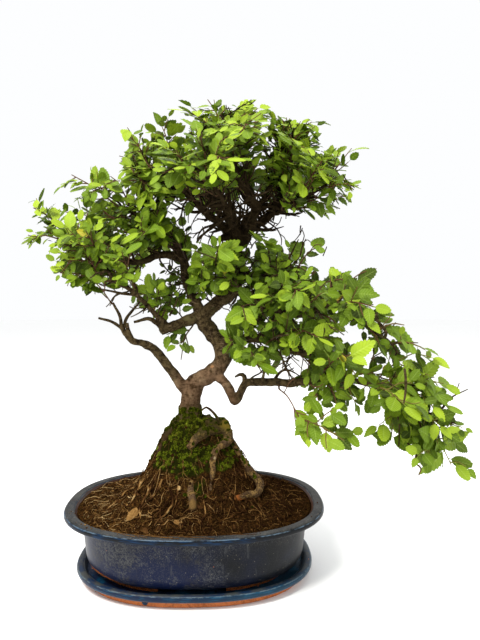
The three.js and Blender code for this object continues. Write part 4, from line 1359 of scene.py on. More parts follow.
@dataclass
class MossCover:
    """Cushions of moss on the mound, over the roots and round the trunk's foot."""

    look: Look
    mound: Mound
    bark: Surface
    on_mound: int = 520
    on_roots: int = 90
    on_collar: int = 330
    fronds: int = 44
    cushion_reach: float = 4.4
    collar: Pair = (143, 162)
    under_fork: float = 158.0
    draws: random.Random = field(default_factory=lambda: random.Random(31))

    def cushion(self) -> Piece:
        """One cushion: a lumpy dome set with pointed fronds, bright at the tips."""
        dome = shape("ico_sphere", subdivisions=1, radius=self.cushion_reach * 0.86 * MM)

        def pressed(point: Vector) -> Vector:
            """A ball's point on the dome."""
            return Vector((point.x, point.y, 0.42 * point.z)) * (1 + 0.25 * noise.noise(point / 2))

        moved(dome, pressed)
        toned(dome, 0.03)
        parts = [dome]
        for _ in range(self.fronds):
            reach = self.cushion_reach * math.sqrt(self.draws.random())
            angle = self.draws.uniform(0, 2 * math.pi)
            height = self.draws.uniform(1.1, 2.2)
            foot = 0.36 * math.sqrt(max(0.0, self.cushion_reach ** 2 - reach ** 2))
            lean = reach / self.cushion_reach * 0.9
            x, y, z = reach * math.cos(angle), reach * math.sin(angle), foot + 0.3 * height
            frond = shape(
                "cone", vertices=3, radius1=0.5 * MM, radius2=0, depth=height * MM,
                location=(x * MM, y * MM, z * MM),
                rotation=(0, lean + self.draws.uniform(-0.3, 0.3), angle),
            )
            bpy.ops.object.transform_apply()
            low, high = self.draws.uniform(0.0, 0.25), self.draws.uniform(0.6, 1.15)
            tip = max(range(4), key=lambda k: frond.data.vertices[k].co.z)
            marked(frond, "tone", [high if k == tip else low for k in range(4)])
            parts.append(frond)
        return joined("moss_cushion", parts)

    def plant(self, master: Piece, point: Vector, up: Vector, size: float, light: float) -> Piece:
        """One cushion in place.

        Args:
            master: the cushion to copy.
            point: where it stands, in millimetres.
            up: the surface's upright there.
            size: its size, 1 for the master's own.
            light: how bright it is, 1 for the master's own.

        Returns:
            The planted cushion.
        """
        piece = copied(master, standing(point - up * 0.7 * size, up, self.draws.uniform(0, TURN), size))
        for mark in piece.data.attributes["tone"].data:
            mark.value = min(1.0, mark.value * light)
        return piece

    def from_above(self, x: float, y: float) -> tuple[Vector, Vector] | None:
        """Where the tree is met from above, under the trunk's fork, and its upright there."""
        met = met_below(self.bark, x, y, self.under_fork)
        return met if met and met[1].z > 0.1 else None

    def build(self) -> Piece:
        """Plants the cushions: on the mound's moss, on some roots and round the trunk's foot."""
        master = self.cushion()
        master.data.materials.append(self.look)
        planted = []
        while len(planted) < self.on_mound:
            x, y = self.draws.uniform(-58, 62), self.draws.uniform(-66, 52)
            point, up = self.mound.ground(x, y)
            mossy = self.mound.mossy(point)
            if mossy < self.draws.uniform(0.3, 0.75) or up.z < 0.2:
                continue
            size = self.draws.uniform(0.4, 0.85) * (0.7 + 0.35 * mossy)
            # painted shade: cushions grow darker towards the mound's right side
            light = (0.55 + 0.7 * mossy - 0.009 * (point.x + 4)) * self.draws.uniform(0.75, 1.15)
            planted.append(self.plant(master, point, up, size, light))
        while len(planted) < self.on_mound + self.on_roots:
            met = self.from_above(self.draws.uniform(-50, 60), self.draws.uniform(-46, 10))
            if met and met[0].z > 92:
                size = self.draws.uniform(0.3, 0.6)
                planted.append(self.plant(master, *met, size, self.draws.uniform(0.4, 0.9)))
        while len(planted) < self.on_mound + self.on_roots + self.on_collar:
            angle = self.draws.uniform(0, 2 * math.pi)
            height = from_low_to_high(self.collar, self.draws.random() ** 1.3)
            height += 3 * noise.noise(Vector((2 * math.cos(angle), 2 * math.sin(angle), 3)))
            towards = Vector((-math.cos(angle), -math.sin(angle), 0))
            start = Vector((-6, 0, height)) - towards * 60
            point, up, _, _ = self.bark.ray_cast(start * MM, towards)
            if point:
                size = self.draws.uniform(0.3, 0.6)
                planted.append(self.plant(master, point / MM, up, size, self.draws.uniform(0.5, 1.1)))
        bpy.data.objects.remove(master)
        return finished(joined("moss", planted), "soil")


@dataclass
class Litter:
    """What lies on the soil: fibres, rootlets, straw, woody root ends, flakes, crumbs and a pebble."""

    look: Look
    mound: Mound
    rim: Surface
    fibres: int = 1500
    rootlets: int = 260
    straws: int = 34
    crumbs: int = 2600
    spilt: int = 90
    flakes: int = 110
    root_ends: int = 30
    tones: int = 5
    draws: random.Random = field(default_factory=lambda: random.Random(47))

    def strand(
        self, x: float, y: float, length: float, radius: float, lift: float, stray: float
    ) -> list[Point]:
        """A strand over the soil from a place.

        Args:
            x: where it starts.
            y: where it starts.
            length: how long it is.
            radius: how thick it starts.
            lift: how far its middle stands off the soil.
            stray: how far it may turn from straight down the mound.

        Returns:
            Its points, which end where the pot's wall begins.
        """
        heading = math.atan2(y, x) + self.draws.uniform(-stray, stray)
        curl = self.draws.uniform(-0.3, 0.3)
        points = []
        step = 2.3
        count = max(3, round(length / step))
        for k in range(count):
            ground, up = self.mound.ground(x, y)
            share = k / max(2, count - 1)
            place = ground + up * (lift * math.sin(math.pi * share) + 0.25 * radius)
            points.append((*place, radius * (1 - 0.6 * share)))
            heading += curl + self.draws.uniform(-0.55, 0.55)
            x, y = x + step * math.cos(heading), y + step * math.sin(heading)
            if reach_of(x, y) > 114.5:
                break
        return points

    def scattered(self, inner: float, outer: float) -> Pair:
        """A drawn place between two reaches round the mound."""
        reach = math.sqrt(self.draws.uniform(inner ** 2, outer ** 2))
        angle = self.draws.uniform(0, 2 * math.pi)
        place = oval(Vector((reach * math.cos(angle), reach * math.sin(angle), 0)), OVAL_DEPTH + 0.04)
        return place.x, place.y

    def strands(self, name: str, count: int, reaches: Pair, lengths: Pair, radii: Pair, tones: Pair,
                lift: float, stray: float) -> Piece:
        """A set of strands with like sizes, in a few tones.

        Args:
            name: the object's name.
            count: how many strands there are.
            reaches: the least and the most reach that they start at.
            lengths: the least and the greatest length.
            radii: the least and the greatest radius.
            tones: the darkest and the lightest tone.
            lift: how far at most their middles stand off the soil.
            stray: how far they may turn from straight down the mound.

        Returns:
            All of them as one object.
        """
        groups = []
        for k in range(self.tones):
            lines = []
            for _ in range(count // self.tones):
                x, y = self.scattered(*reaches)
                length, radius = self.draws.uniform(*lengths), self.draws.uniform(*radii)
                line = self.strand(x, y, length, radius, self.draws.uniform(0, lift), stray)
                if len(line) > 2:
                    lines.append(line)
            group = stems(name, lines, HAIR_ROUND, self.look)
            toned(group, from_low_to_high(tones, k / (self.tones - 1)))
            groups.append(group)
        return joined(name, groups)

    def woody_ends(self) -> Piece:
        """The thick root ends in front, and some drawn ones all round."""
        lines = [self.mound.laid(smooth_line(end, 2.4)) for end in WOODY_ENDS]
        for _ in range(self.root_ends):
            x, y = self.scattered(40, 84)
            length, radius = self.draws.uniform(12, 30), self.draws.uniform(0.6, 1.3)
            lines.append(self.strand(x, y, length, radius, self.draws.uniform(0.6, 3), 0.9))

        def knotty(x: float, y: float, z: float, radius: float) -> Point:
            """A root end's point with its own girth."""
            return x, y, z, 0.72 * radius * (1 + 0.4 * noise.noise(Vector((x, y, z)) / 3))

        lines = [[knotty(*point) for point in line] for line in lines if len(line) > 2]
        piece = stems("woody_roots", lines, THIN_ROUND, self.look)
        marked(piece, "tone", [0.4 + 0.9 * noise.noise(v.co / (6 * MM)) for v in piece.data.vertices])
        return piece

    def crumb(self) -> Piece:
        """One crumb of soil."""
        crumb = shape("ico_sphere", subdivisions=1, radius=MM)
        moved(crumb, lambda point: point * (0.75 + 0.6 * noise.noise(point * 1.7)))
        crumb.data.materials.append(self.look)
        return crumb

    def flake(self) -> Piece:
        """One flake of bark or dead leaf: a thin curled chip."""
        flake = shape("ico_sphere", subdivisions=2, radius=MM)

        def pressed(point: Vector) -> Vector:
            """A ball's point on the flake."""
            edge = 1 + 0.4 * noise.noise(Vector((point.x, point.y, 0)) * 1.6 + Vector((5, 2, 0)))
            curl = 0.16 * point.z + 0.3 * point.x ** 2
            return Vector((1.5 * edge * point.x, 0.8 * edge * point.y, curl))

        moved(flake, pressed)
        flake.data.materials.append(self.look)
        return flake

    def strewn(self, master: Piece, count: int, sizes: Pair, tones: Pair, tilt: float) -> list[Piece]:
        """Strews a small shape all over the soil, more of it small than large.

        Args:
            master: the shape to copy.
            count: how many copies there are.
            sizes: the least and the greatest size.
            tones: the darkest and the lightest tone.
            tilt: how far they may lean from the soil's upright.

        Returns:
            The copies.
        """
        made = []
        for _ in range(count):
            x, y = self.scattered(26, 113)
            point, up = self.mound.ground(x, y)
            leaning = (up + drawn(self.draws, tilt)).normalized()
            size = from_low_to_high(sizes, self.draws.random() ** 3)
            tone = from_low_to_high(tones, self.draws.random() ** 2)
            matrix = standing(point + up * 0.1 * size, leaning, self.draws.uniform(0, TURN), size)
            made.append(copied(master, matrix, tone))
        return made

    def over_rim(self) -> Piece:
        """A few long root hairs that lie over the rim in front on the left."""
        lines = []
        for k in range(9):
            angle, reach = -2.5 + 0.1 * k + self.draws.uniform(-0.05, 0.05), self.draws.uniform(104, 110)
            turn, line = self.draws.uniform(0.012, 0.04), []
            while reach < self.draws.uniform(126, 129.5):
                place = oval(Vector((math.cos(angle), math.sin(angle), 0)) * reach)
                rim = met_below(self.rim, place.x, place.y, 200)
                height = max(self.mound.ground(place.x, place.y)[0].z, rim[0].z if rim else 0)
                line.append((place.x, place.y, height + 0.4, 0.26))
                reach, angle = reach + 0.9, angle + turn * self.draws.uniform(0.2, 1.6)
            lines.append(line)
        piece = stems("root_hairs", lines, HAIR_ROUND, self.look)
        toned(piece, 0.5)
        return piece

    def spill(self, master: Piece) -> list[Piece]:
        """Crumbs spilt on the pot's rim, most of them in front on the left."""
        made = []
        while len(made) < self.spilt:
            angle = self.draws.gauss(-1.95, 0.75)
            place = oval(Vector((math.cos(angle), math.sin(angle), 0)) * self.draws.uniform(119, 127))
            point, up = met_below(self.rim, place.x, place.y, 200) or (place, UP)
            if point.z > RIM_TOP - 2:
                size = 0.3 + 0.9 * self.draws.random() ** 3
                matrix = standing(point + up * 0.2 * size, up, self.draws.uniform(0, TURN), size)
                made.append(copied(master, matrix, self.draws.uniform(0, 0.6)))
        return made

    def build(self) -> list[Piece]:
        """Scatters everything over the soil."""
        kinds = (
            ("soil_fibres", self.fibres, (30, 115), (5, 15), (0.12, 0.26), (0.0, 0.8), 1.8, 3.1),
            ("fine_rootlets", self.rootlets, (40, 104), (10, 34), (0.18, 0.42), (0.1, 0.75), 2.6, 1.2),
            ("straw", self.straws, (48, 108), (5, 14), (0.25, 0.5), (0.6, 0.85), 1.2, 2.0),
        )
        made = [self.strands(*kind) for kind in kinds]
        made += [self.over_rim(), self.woody_ends()]
        crumb, flake = self.crumb(), self.flake()
        crumbs = self.strewn(crumb, self.crumbs, (0.45, 2.4), (0.0, 0.5), 0.5) + self.spill(crumb)
        pebble = self.mound.ground(-13, -48)[0] + Vector((0, -1, 0.8))
        crumbs.append(copied(crumb, standing(pebble, Vector((0.3, -0.5, 1)), 0.6, 3.2), 0.86))
        made.append(joined("soil_crumbs", crumbs))
        chips = self.strewn(flake, self.flakes, (0.9, 3.0), (0.2, 0.7), 0.35)
        large_chip = self.mound.ground(-55, -62)[0] + Vector((0, 0, 2.6))
        chips.append(copied(flake, standing(large_chip, Vector((0.1, -0.8, 0.7)), 0.9, 4.8), 0.62))
        made.append(joined("soil_flakes", chips))
        bpy.data.objects.remove(crumb)
        bpy.data.objects.remove(flake)
        return [finished(piece, "soil") for piece in made]


@dataclass
class View:
    """Where the photograph was taken from."""

    eye: Place = (31.0, -573.5, 268.5)
    yaw: float = 0.025
    pitch: float = -0.030
    focal_pixels: float = 560.0
    frame: tuple[int, int] = (480, 640)
    sensor: float = 36.0

    def turn(self) -> Euler:
        """How the camera is turned."""
        return Euler((math.pi / 2 + self.pitch, 0, -self.yaw))

    def camera(self) -> None:
        """Stands the camera there."""
        data = bpy.data.cameras.new("camera")
        data.sensor_width = self.sensor
        data.lens = self.focal_pixels / self.frame[1] * self.sensor
        data.clip_start = 0.01
        camera = bpy.data.objects.new("camera", data)
        camera.location = Vector(self.eye) * MM
        camera.rotation_euler = self.turn()
        bpy.context.scene.collection.objects.link(camera)
        bpy.context.scene.camera = camera

    def seen(self, point: Vector) -> Spot:
        """Where in the picture a point is seen."""
        x, y, z = self.turn().to_matrix().transposed() @ (point - Vector(self.eye))
        width, height = self.frame
        return width / 2 - self.focal_pixels * x / z, height / 2 + self.focal_pixels * y / z


# The leafy crown's outline and its leafless places, as the camera sees them, in a picture 480 wide and
# 640 high.
CROWN_OUTLINE: list[Spot] = [
    (19, 254), (24, 232), (36, 224), (27, 196), (34, 190), (46, 184), (61, 176), (78, 170), (92, 164),
    (110, 174), (118, 184), (119, 156), (124, 146), (122, 124), (142, 118), (163, 110), (169, 99),
    (194, 91), (206, 100), (213, 94), (229, 106), (243, 101), (250, 90), (262, 91), (272, 101),
    (279, 116), (300, 118), (313, 115), (335, 120), (337, 134), (366, 144), (349, 162), (346, 176),
    (361, 184), (356, 200), (347, 212), (324, 217), (312, 228), (306, 238), (326, 237), (327, 247),
    (312, 262), (321, 270), (310, 278), (326, 282), (326, 258), (346, 270), (373, 260), (381, 280),
    (376, 298), (392, 308), (400, 322), (414, 334), (424, 348), (444, 353), (462, 366), (470, 388),
    (464, 402), (471, 420), (474, 446), (477, 474), (464, 494), (446, 484), (442, 462), (426, 478),
    (404, 458), (386, 450), (366, 452), (345, 456), (326, 452), (298, 440), (290, 420), (304, 404),
    (304, 388), (292, 384), (282, 374), (262, 370), (236, 363), (220, 352), (212, 340), (196, 334),
    (194, 352), (176, 356), (164, 346), (166, 326), (150, 316), (130, 322), (112, 318), (102, 300),
    (86, 292), (66, 286), (54, 280), (52, 262), (38, 250),
]
# Each place has the depth behind which leaves may still be seen through it.
OPEN_PLACES: dict[str, tuple[float, list[Spot]]] = {
    "under the top crown": (24, [
        (190, 197), (212, 188), (236, 187), (258, 194), (266, 212), (258, 231), (232, 232), (204, 236),
    ]),
    "gap left of the centre": (300, [(165, 206), (176, 204), (180, 214), (170, 220)]),
    "gap beside the left stem": (300, [(150, 262), (160, 262), (162, 270), (150, 272)]),
    "gap over the low bough": (300, [(272, 366), (300, 352), (312, 362), (306, 374), (284, 380)]),
    "gap under the low bough": (300, [(363, 414), (388, 412), (388, 424), (366, 424)]),
    "gap round the left snag": (300, [
        (96, 283), (114, 285), (127, 291), (126, 300), (110, 297), (96, 293),
    ]),
    "gap beside the centre stem": (300, [
        (216, 312), (226, 308), (232, 314), (224, 322), (216, 330), (212, 322),
    ]),
    "left limb": (14, [
        (122, 256), (137, 251), (152, 250), (160, 246), (176, 245), (188, 254), (190, 276), (184, 288),
        (178, 280), (174, 266), (158, 264), (140, 270), (124, 267),
    ]),
    "centre stem": (5, [
        (190, 330), (186, 312), (200, 304), (214, 296), (232, 290), (242, 292), (242, 300), (228, 304),
        (214, 312), (212, 322), (224, 340), (220, 352), (206, 346),
    ]),
}


def encloses(outline: Sequence[Spot], spot: Spot) -> bool:
    """Whether a closed outline goes round a spot."""
    within = False
    for (x0, y0), (x1, y1) in zip(outline, [*outline[1:], outline[0]]):
        if (y0 > spot[1]) != (y1 > spot[1]) and spot[0] < x0 + (x1 - x0) * (spot[1] - y0) / (y1 - y0):
            within = not within
    return within


class LeafForm(Enum):
    """How a leaf lies: its arch, fold at the midrib, wave of the edge, twist and length of tip."""

    FLAT = (0.03, 0.04, 0.1, 0.0, 0.72)
    ARCHED = (0.17, 0.1, 0.14, 0.08, 1.0)
    CUPPED = (-0.06, 0.16, 0.12, -0.10, 0.62)
    HANGING = (0.26, 0.06, 0.16, 0.12, 0.9)


@dataclass
class LeafPattern:
    """One toothed leaf, modelled once in each form and copied for every leaf on the tree."""

    look: Look
    length: float = 20.0
    half_width: float = 5.9
    foot: float = 0.55
    tooth: float = 0.042
    rows: int = 16
    small_rows: int = 9
    thickness: float = 0.34
    stalk: float = 3.0

    def width_at(self, share: float, tip: float) -> float:
        """The half width at a share of the length, for how drawn out the tip is."""
        fullest = self.foot / (self.foot + tip)
        widest = fullest ** self.foot * (1 - fullest) ** tip
        return self.half_width * share ** self.foot * (1 - share) ** tip / widest

    def shaped(self, form: LeafForm, column: float, row: int, rows: int) -> Vector:
        """A point of the blade.

        Args:
            form: how the leaf lies.
            column: -1 on the left edge, 0 on the midrib and 1 on the right edge.
            row: the row from the stalk, alternately a tooth's notch and its point.
            rows: how many rows the leaf has.

        Returns:
            Its place in millimetres, with the leaf's stalk at the origin.
        """
        arch, fold, wave, twist, tip = form.value
        share = row / rows
        tooth = row % 2 == 1 and 0 < row < rows
        width = self.width_at(share, tip) * (1.07 if tooth else 0.95)
        along = self.length * (share + (self.tooth if tooth and column else 0))
        across = column * width
        rise = -arch * self.length * share ** 2 + fold * abs(across)
        rise += wave * (1 if tooth else -1) * abs(column) + twist * across * share
        return Vector((across, along, rise))

    def build(self, form: LeafForm, rows: int) -> Piece:
        """Cuts a leaf out of a grid: its sheet, its underside and its stalk."""
        leaf = shape("grid", x_subdivisions=2, y_subdivisions=rows, size=2)
        leaf.name = f"leaf_{form.name.lower()}"
        mesh = leaf.data
        places = [(round(v.co.x), round((v.co.y + 1) / 2 * rows)) for v in mesh.vertices]
        for vertex, (column, row) in zip(mesh.vertices, places):
            vertex.co = self.shaped(form, column, row, rows) * MM
        leaf_map = mesh.uv_layers.new(name="leaf_map") if not mesh.uv_layers else mesh.uv_layers[0]
        leaf_map.name = "leaf_map"
        for loop, spot in zip(mesh.loops, leaf_map.data):
            column, row = places[loop.vertex_index]
            spot.uv = (0.5 + 0.5 * column, row / rows)
        bpy.ops.object.mode_set(mode="EDIT")
        bpy.ops.mesh.select_all(action="SELECT")
        bpy.ops.mesh.duplicate_move(TRANSFORM_OT_translate={"value": (0, 0, -self.thickness * MM)})
        bpy.ops.mesh.flip_normals()
        bpy.ops.object.mode_set(mode="OBJECT")
        count = len(places)
        for vertex, (column, row) in zip(list(mesh.vertices)[count:], places):
            if column:
                vertex.co = self.shaped(form, column, row, rows) * MM
        bpy.ops.object.mode_set(mode="EDIT")
        bpy.ops.mesh.select_all(action="SELECT")
        bpy.ops.mesh.remove_doubles(threshold=0.02 * MM)
        bpy.ops.mesh.dissolve_degenerate(threshold=0.01 * MM)
        bpy.ops.object.mode_set(mode="OBJECT")
        middle = (0, (0.5 - self.stalk / 2) * MM, -0.5 * self.thickness * MM)
        stalk = shape(
            "cone", vertices=3, radius1=0.42 * MM, radius2=0.3 * MM, depth=(self.stalk + 1) * MM,
            location=middle, rotation=(-math.pi / 2, 0, 0),
        )
        bpy.ops.object.transform_apply()
        for layer in stalk.data.uv_layers:
            layer.name = "leaf_map"
            for spot in layer.data:
                spot.uv = (0.5, 0.02)
        whole = joined(leaf.name, [leaf, stalk])
        coated(whole, self.look, 50)
        toned(whole, 0.5)
        return whole


@dataclass
class Shoot:
    """A young twig: its points, the way its leaves face and how large they grow."""

    line: list[Point]
    face: Vector
    vigour: float = 1.0

    def at(self, share: float) -> tuple[Vector, Vector]:
        """The place and the direction at a share of its length."""
        place = share * (len(self.line) - 1)
        k = min(int(place), len(self.line) - 2)
        here, there = Vector(self.line[k][:3]), Vector(self.line[k + 1][:3])
        return here.lerp(there, place - k), (there - here).normalized()

    def length(self) -> float:
        """Its length."""
        return sum(math.dist(a[:3], b[:3]) for a, b in zip(self.line, self.line[1:]))


@dataclass
class Foliage:
    """Grows shoots and their leaves, and keeps them inside the part's box."""

    leaf_look: Look
    twig_look: Look
    view: View
    leaf_step: float = 5.5
    shoot_step: float = 7.0
    leaf_length: float = 18.2
    small_leaf: float = 14.5
    spread: float = math.radians(54)
    slack: float = 3.0
    near: float = 29.0
    tip_radius: float = 0.42
    stalk_shown: float = 2.6
    brightest: float = 0.78
    yellowed: float = 0.006
    sag: Vector = field(default_factory=lambda: Vector((0, 0, 0.14)))
    draws: random.Random = field(default_factory=lambda: random.Random(20240611))
    patterns: list[Piece] = field(default_factory=list)
    small_patterns: list[Piece] = field(default_factory=list)
    guides: kdtree.KDTree | None = None
    count: int = 0

    def prepare(self, mains: Iterable[Shoot]) -> None:
        """Models the leaf in each of its forms, and marks where the crown is.

        Args:
            mains: the main twigs of all sprays.
        """
        pattern = LeafPattern(self.leaf_look)
        self.patterns = [pattern.build(form, pattern.rows) for form in LeafForm]
        self.small_patterns = [pattern.build(form, pattern.small_rows) for form in LeafForm]
        places = [Vector(point[:3]) for main in mains for point in main.line[2:]]
        for shoots in INNER_SHOOTS:
            line = bough_line(shoots.bough).line
            places += [Vector(point[:3]) for point in line[int(shoots.first * len(line)):]]
        self.guides = kdtree.KDTree(len(places))
        for number, place in enumerate(places):
            self.guides.insert(place, number)
        self.guides.balance()

    def clear_away(self) -> None:
        """Removes the pattern leaves."""
        for pattern in self.patterns + self.small_patterns:
            bpy.data.objects.remove(pattern)

    def inside(self, point: Vector, near: float | None = None) -> bool:
        """Whether a point is in the part's box, near a main twig, and in the crown's outline."""
        ends = zip(point, *CAD_BOX)
        boxed = all(low / MM - self.slack < part < high / MM + self.slack for part, low, high in ends)
        if not boxed or self.guides.find(point)[2] > (near or self.near):
            return False
        seen = self.view.seen(point)
        hides = any(point.y < depth and encloses(place, seen) for depth, place in OPEN_PLACES.values())
        return encloses(CROWN_OUTLINE, seen) and not hides

    def growth(self, point: Vector) -> float:
        """How much larger leaves are at a point: the low bough on the right has the largest."""
        return 1 + point.x / 1100

    def facing(self, point: Vector) -> Vector:
        """The way a leaf at a point faces: out from the crown and up, with a drawn lean."""
        lean = drawn(self.draws, 0.95)
        out = point - CROWN_HEART
        forward = 1.5 * out.y + (-30 if out.y < 20 else 30)
        outward = Vector((0.35 * out.x, forward, 0.25 * out.z)).normalized()
        level = 0.6 + 0.3 * limited((point.z - 230) / 140)
        return (Vector((0, 0, level)) + outward + lean).normalized()

    def shoot(
        self, start: Vector, leave: Vector, end: Vector, radius: float, bend: float, vigour: float
    ) -> Shoot:
        """A shoot from a seat to its tip.

        Args:
            start: where it leaves its parent, on the parent's axis.
            leave: the way it leaves.
            end: its tip.
            radius: its radius at the start.
            bend: how far its middle is moved up, as a share of its reach.
            vigour: how large its leaves grow.

        Returns:
            The shoot.
        """
        reach = (end - start).length
        elbow = start + leave * 0.14 * reach
        aside = drawn(self.draws, 0.06) + Vector((0, 0, bend))
        middle = elbow.lerp(end, 0.5) + aside * reach
        knots = [start, elbow, middle, end]
        points = [(*knot, radius + (self.tip_radius - radius) * k / 3) for k, knot in enumerate(knots)]
        return Shoot(smooth_line(points, TWIG_STEP), self.facing(end), vigour)

    def leaves_on(self, shoot: Shoot, bare: float) -> list[Piece]:
        """The leaves of one shoot, on alternate sides from its tip back.

        Args:
            shoot: the shoot that bears them.
            bare: the share of its length from the start that has none.

        Returns:
            The leaves.
        """
        made = []
        length = shoot.length()
        back = 0.0
        side = self.draws.choice((-1, 1))
        while back < length * (1 - bare):
            share = 1 - back / length
            point, along = shoot.at(share)
            face = (shoot.face * 0.7 + self.facing(point) * 0.6).normalized()
            across = along.cross(face).normalized()
            angle = 0.12 if back == 0 else self.spread + self.draws.uniform(-0.25, 0.25)
            direction = along * math.cos(angle) + across * side * math.sin(angle)
            direction = direction + face * self.draws.uniform(-0.35, 0.4) - self.sag
            direction.normalize()
            growth = self.growth(point)
            young = 0.78 if back == 0 else min(1.0, 0.84 + 0.012 * back)
            size = self.leaf_length * growth * young * shoot.vigour * self.draws.uniform(0.7, 1.2)
            if self.inside(point + direction * size) and self.inside(point + direction * size * 0.5):
                made.append(self.leaf(point, direction, face, size, share))
            step = self.leaf_step * growth * (0.3 + 0.7 * shoot.vigour)
            back += step * self.draws.uniform(0.8, 1.2) * (0.75 if back == 0 else 1)
            side = -side
        return made

    def leaf(self, point: Vector, along: Vector, face: Vector, size: float, share: float) -> Piece:
        """One leaf in place, with painted shade deep in the crown, painted light at the crown's top and
        front, and brighter at a shoot's tip.

        Args:
            point: its seat on the shoot.
            along: the way that it points.
            face: the way that its upper side faces.
            size: its length.
            share: how far along the shoot it is, from 0 to 1.

        Returns:
            The leaf.
        """
        right = along.cross(face).normalized()
        basis = Matrix((right, along, right.cross(along))).transposed().to_4x4()
        scale = Matrix.Scale(size / LeafPattern.length, 4)
        matrix = Matrix.Translation((point + along * self.stalk_shown) * MM) @ basis @ scale
        # painted shade and light: leaves are darker deep in the crown, lighter at its top and front, and
        # darker to the right
        out = limited((point - CROWN_HEART).length / 190)
        lit = 0.14 * limited(max((point.z - 320) / 90, -point.y / 110)) - 0.0005 * (point.x - 40)
        large = 0.01 * (size - 14)
        tone = 0.2 + 0.1 * out + lit + large + 0.24 * share ** 2 + self.draws.gauss(0, 0.15)
        tone = 1.0 if self.draws.random() < self.yellowed else limited(min(self.brightest, tone))
        self.count += 1
        patterns = self.patterns if size > self.small_leaf else self.small_patterns
        return copied(self.draws.choice(patterns), matrix, tone)

    def side_shoots(self, parent: Shoot, first: float, reach: Pair) -> list[Shoot]:
        """Shoots that fork from a shoot, turn about on its sides.

        Args:
            parent: the shoot that they fork from.
            first: the share of its length that has none.
            reach: the least and the greatest length.

        Returns:
            The shoots that stay in the crown.
        """
        made = []
        length = parent.length()
        place = first * length
        side = self.draws.choice((-1, 1))
        while place < 0.93 * length:
            share = place / length
            point, along = parent.at(share)
            across = along.cross(parent.face).normalized()
            turn = self.draws.uniform(0.7, 1.15)
            lift = parent.face * self.draws.uniform(-0.45, 0.6)
            away = (along * math.cos(turn) + across * side * math.sin(turn) + lift).normalized()
            extent = self.draws.uniform(*reach) * (1.15 - 0.45 * share)
            end = point + away * extent
            if self.inside(end, 0.8 * self.near):
                bend = self.draws.uniform(-0.08, 0.1)
                vigour = 0.72 * parent.vigour * self.draws.uniform(0.75, 1.15)
                made.append(self.shoot(point, away, end, 0.7, bend, vigour))
            place += self.shoot_step * self.growth(point) ** 2 * self.draws.uniform(0.75, 1.25)
            side = -side
        return made

    def piece(self, name: str, shoots: list[tuple[Shoot, float]]) -> Piece:
        """The twigs and leaves of a spray as one object.

        Args:
            name: the object's name.
            shoots: its shoots, each with the share that bears no leaf.

        Returns:
            The spray, with twigs that grow lighter away from the crown's middle.
        """
        twigs = stems(name, [shoot.line for shoot, _ in shoots], HAIR_ROUND, self.twig_look)
        heart = CROWN_HEART * MM
        marked(twigs, "tone", [limited((v.co - heart).length / 0.26) for v in twigs.data.vertices])
        leaves = [leaf for shoot, bare in shoots for leaf in self.leaves_on(shoot, bare)]
        return joined(name, [twigs, *leaves])


def bough_line(name: str) -> Shoot:
    """A bough's axis as a line on which shoots are seated."""
    return Shoot(smooth_line(BOUGHS[name], BOUGH_STEP), UP)


@dataclass
class Spray:
    """A forked leafy twig that reaches the named tips from its bough."""

    bough: str
    number: int
    tips: list[Place]
    mains: list[Shoot] = field(default_factory=list)
    bare: float = 0.25
    fork_from: float = 0.18
    side_reach: Pair = (13, 27)
    side_bare: float = 0.1

    def seat(self, parent: Shoot, target: Vector, first: float) -> tuple[Vector, Vector]:
        """Finds the best seat for a twig: near its target and at an easy angle.

        Args:
            parent: the stem that bears it.
            target: the tip that it grows to.
            first: the share of the parent's length that bears none.

        Returns:
            The seat and the parent's direction there.
        """
        best, least = None, math.inf
        share = first
        while share <= 1:
            point, along = parent.at(share)
            reach = target - point
            cost = reach.length + 0.9 * abs(math.degrees(reach.angle(along)) - 45)
            if cost < least:
                best, least = (point, along), cost
            share += 0.04
        return best

    def grow(self, foliage: Foliage) -> list[Shoot]:
        """Grows the spray's main twigs, the later ones from the first."""
        self.mains = []
        for tip in self.tips:
            target = Vector(tip)
            parent = self.mains[0] if self.mains else bough_line(self.bough)
            point, along = self.seat(parent, target, 0.3 if self.mains else 0.25)
            reach = target - point
            aside = reach - along * 0.85 * reach.dot(along)
            leave = (reach if aside.length < 0.35 * reach.length else aside).normalized()
            self.mains.append(foliage.shoot(point, leave, target, 0.9 if self.mains else 1.15, 0.1, 1.1))
        return self.mains

    def build(self, foliage: Foliage) -> Piece:
        """Adds the side shoots and the leaves."""
        shoots = [(main, self.bare) for main in self.mains]
        for main in self.mains:
            sides = foliage.side_shoots(main, self.fork_from, self.side_reach)
            shoots += [(side, self.side_bare) for side in sides]
        name = f"spray_{self.bough}_{self.number}"
        return finished(foliage.piece(f"{name}_leafy", shoots), "leaf", name)


@dataclass
class InnerShoots:
    """Leafy shoots straight from a bough, between its sprays."""

    bough: str
    count: int
    first: float = 0.25
    last: float = 1.0
    reach: Pair = (18, 36)
    lean: Place = (0.0, 0.0, 0.15)
    bare: float = 0.25
    fork_from: float = 0.35
    side_reach: Pair = (12, 20)
    side_bare: float = 0.15

    def build(self, foliage: Foliage) -> Piece:
        """Grows the shoots all round the bough."""
        parent = bough_line(self.bough)
        shoots = []
        for k in range(self.count):
            share = self.first + (self.last - self.first) * (k + foliage.draws.random()) / self.count
            point, along = parent.at(min(0.99, share))
            around = Matrix.Rotation(NEXT_SHOOT * k + foliage.draws.uniform(-0.5, 0.5), 3, along)
            across = around @ along.orthogonal().normalized()
            out = (point - CROWN_HEART).normalized()
            away = (across + along * 0.5 + out * 0.5 + Vector(self.lean)).normalized()
            end = point + away * foliage.draws.uniform(*self.reach)
            if not foliage.inside(end, 0.8 * foliage.near):
                continue
            vigour = foliage.draws.uniform(0.65, 0.95)
            main = foliage.shoot(point, across, end, 0.9, foliage.draws.uniform(-0.05, 0.12), vigour)
            shoots.append((main, self.bare))
            sides = foliage.side_shoots(main, self.fork_from, self.side_reach)
            shoots += [(side, self.side_bare) for side in sides]
        return finished(foliage.piece(f"shoots_{self.bough}", shoots), "leaf")


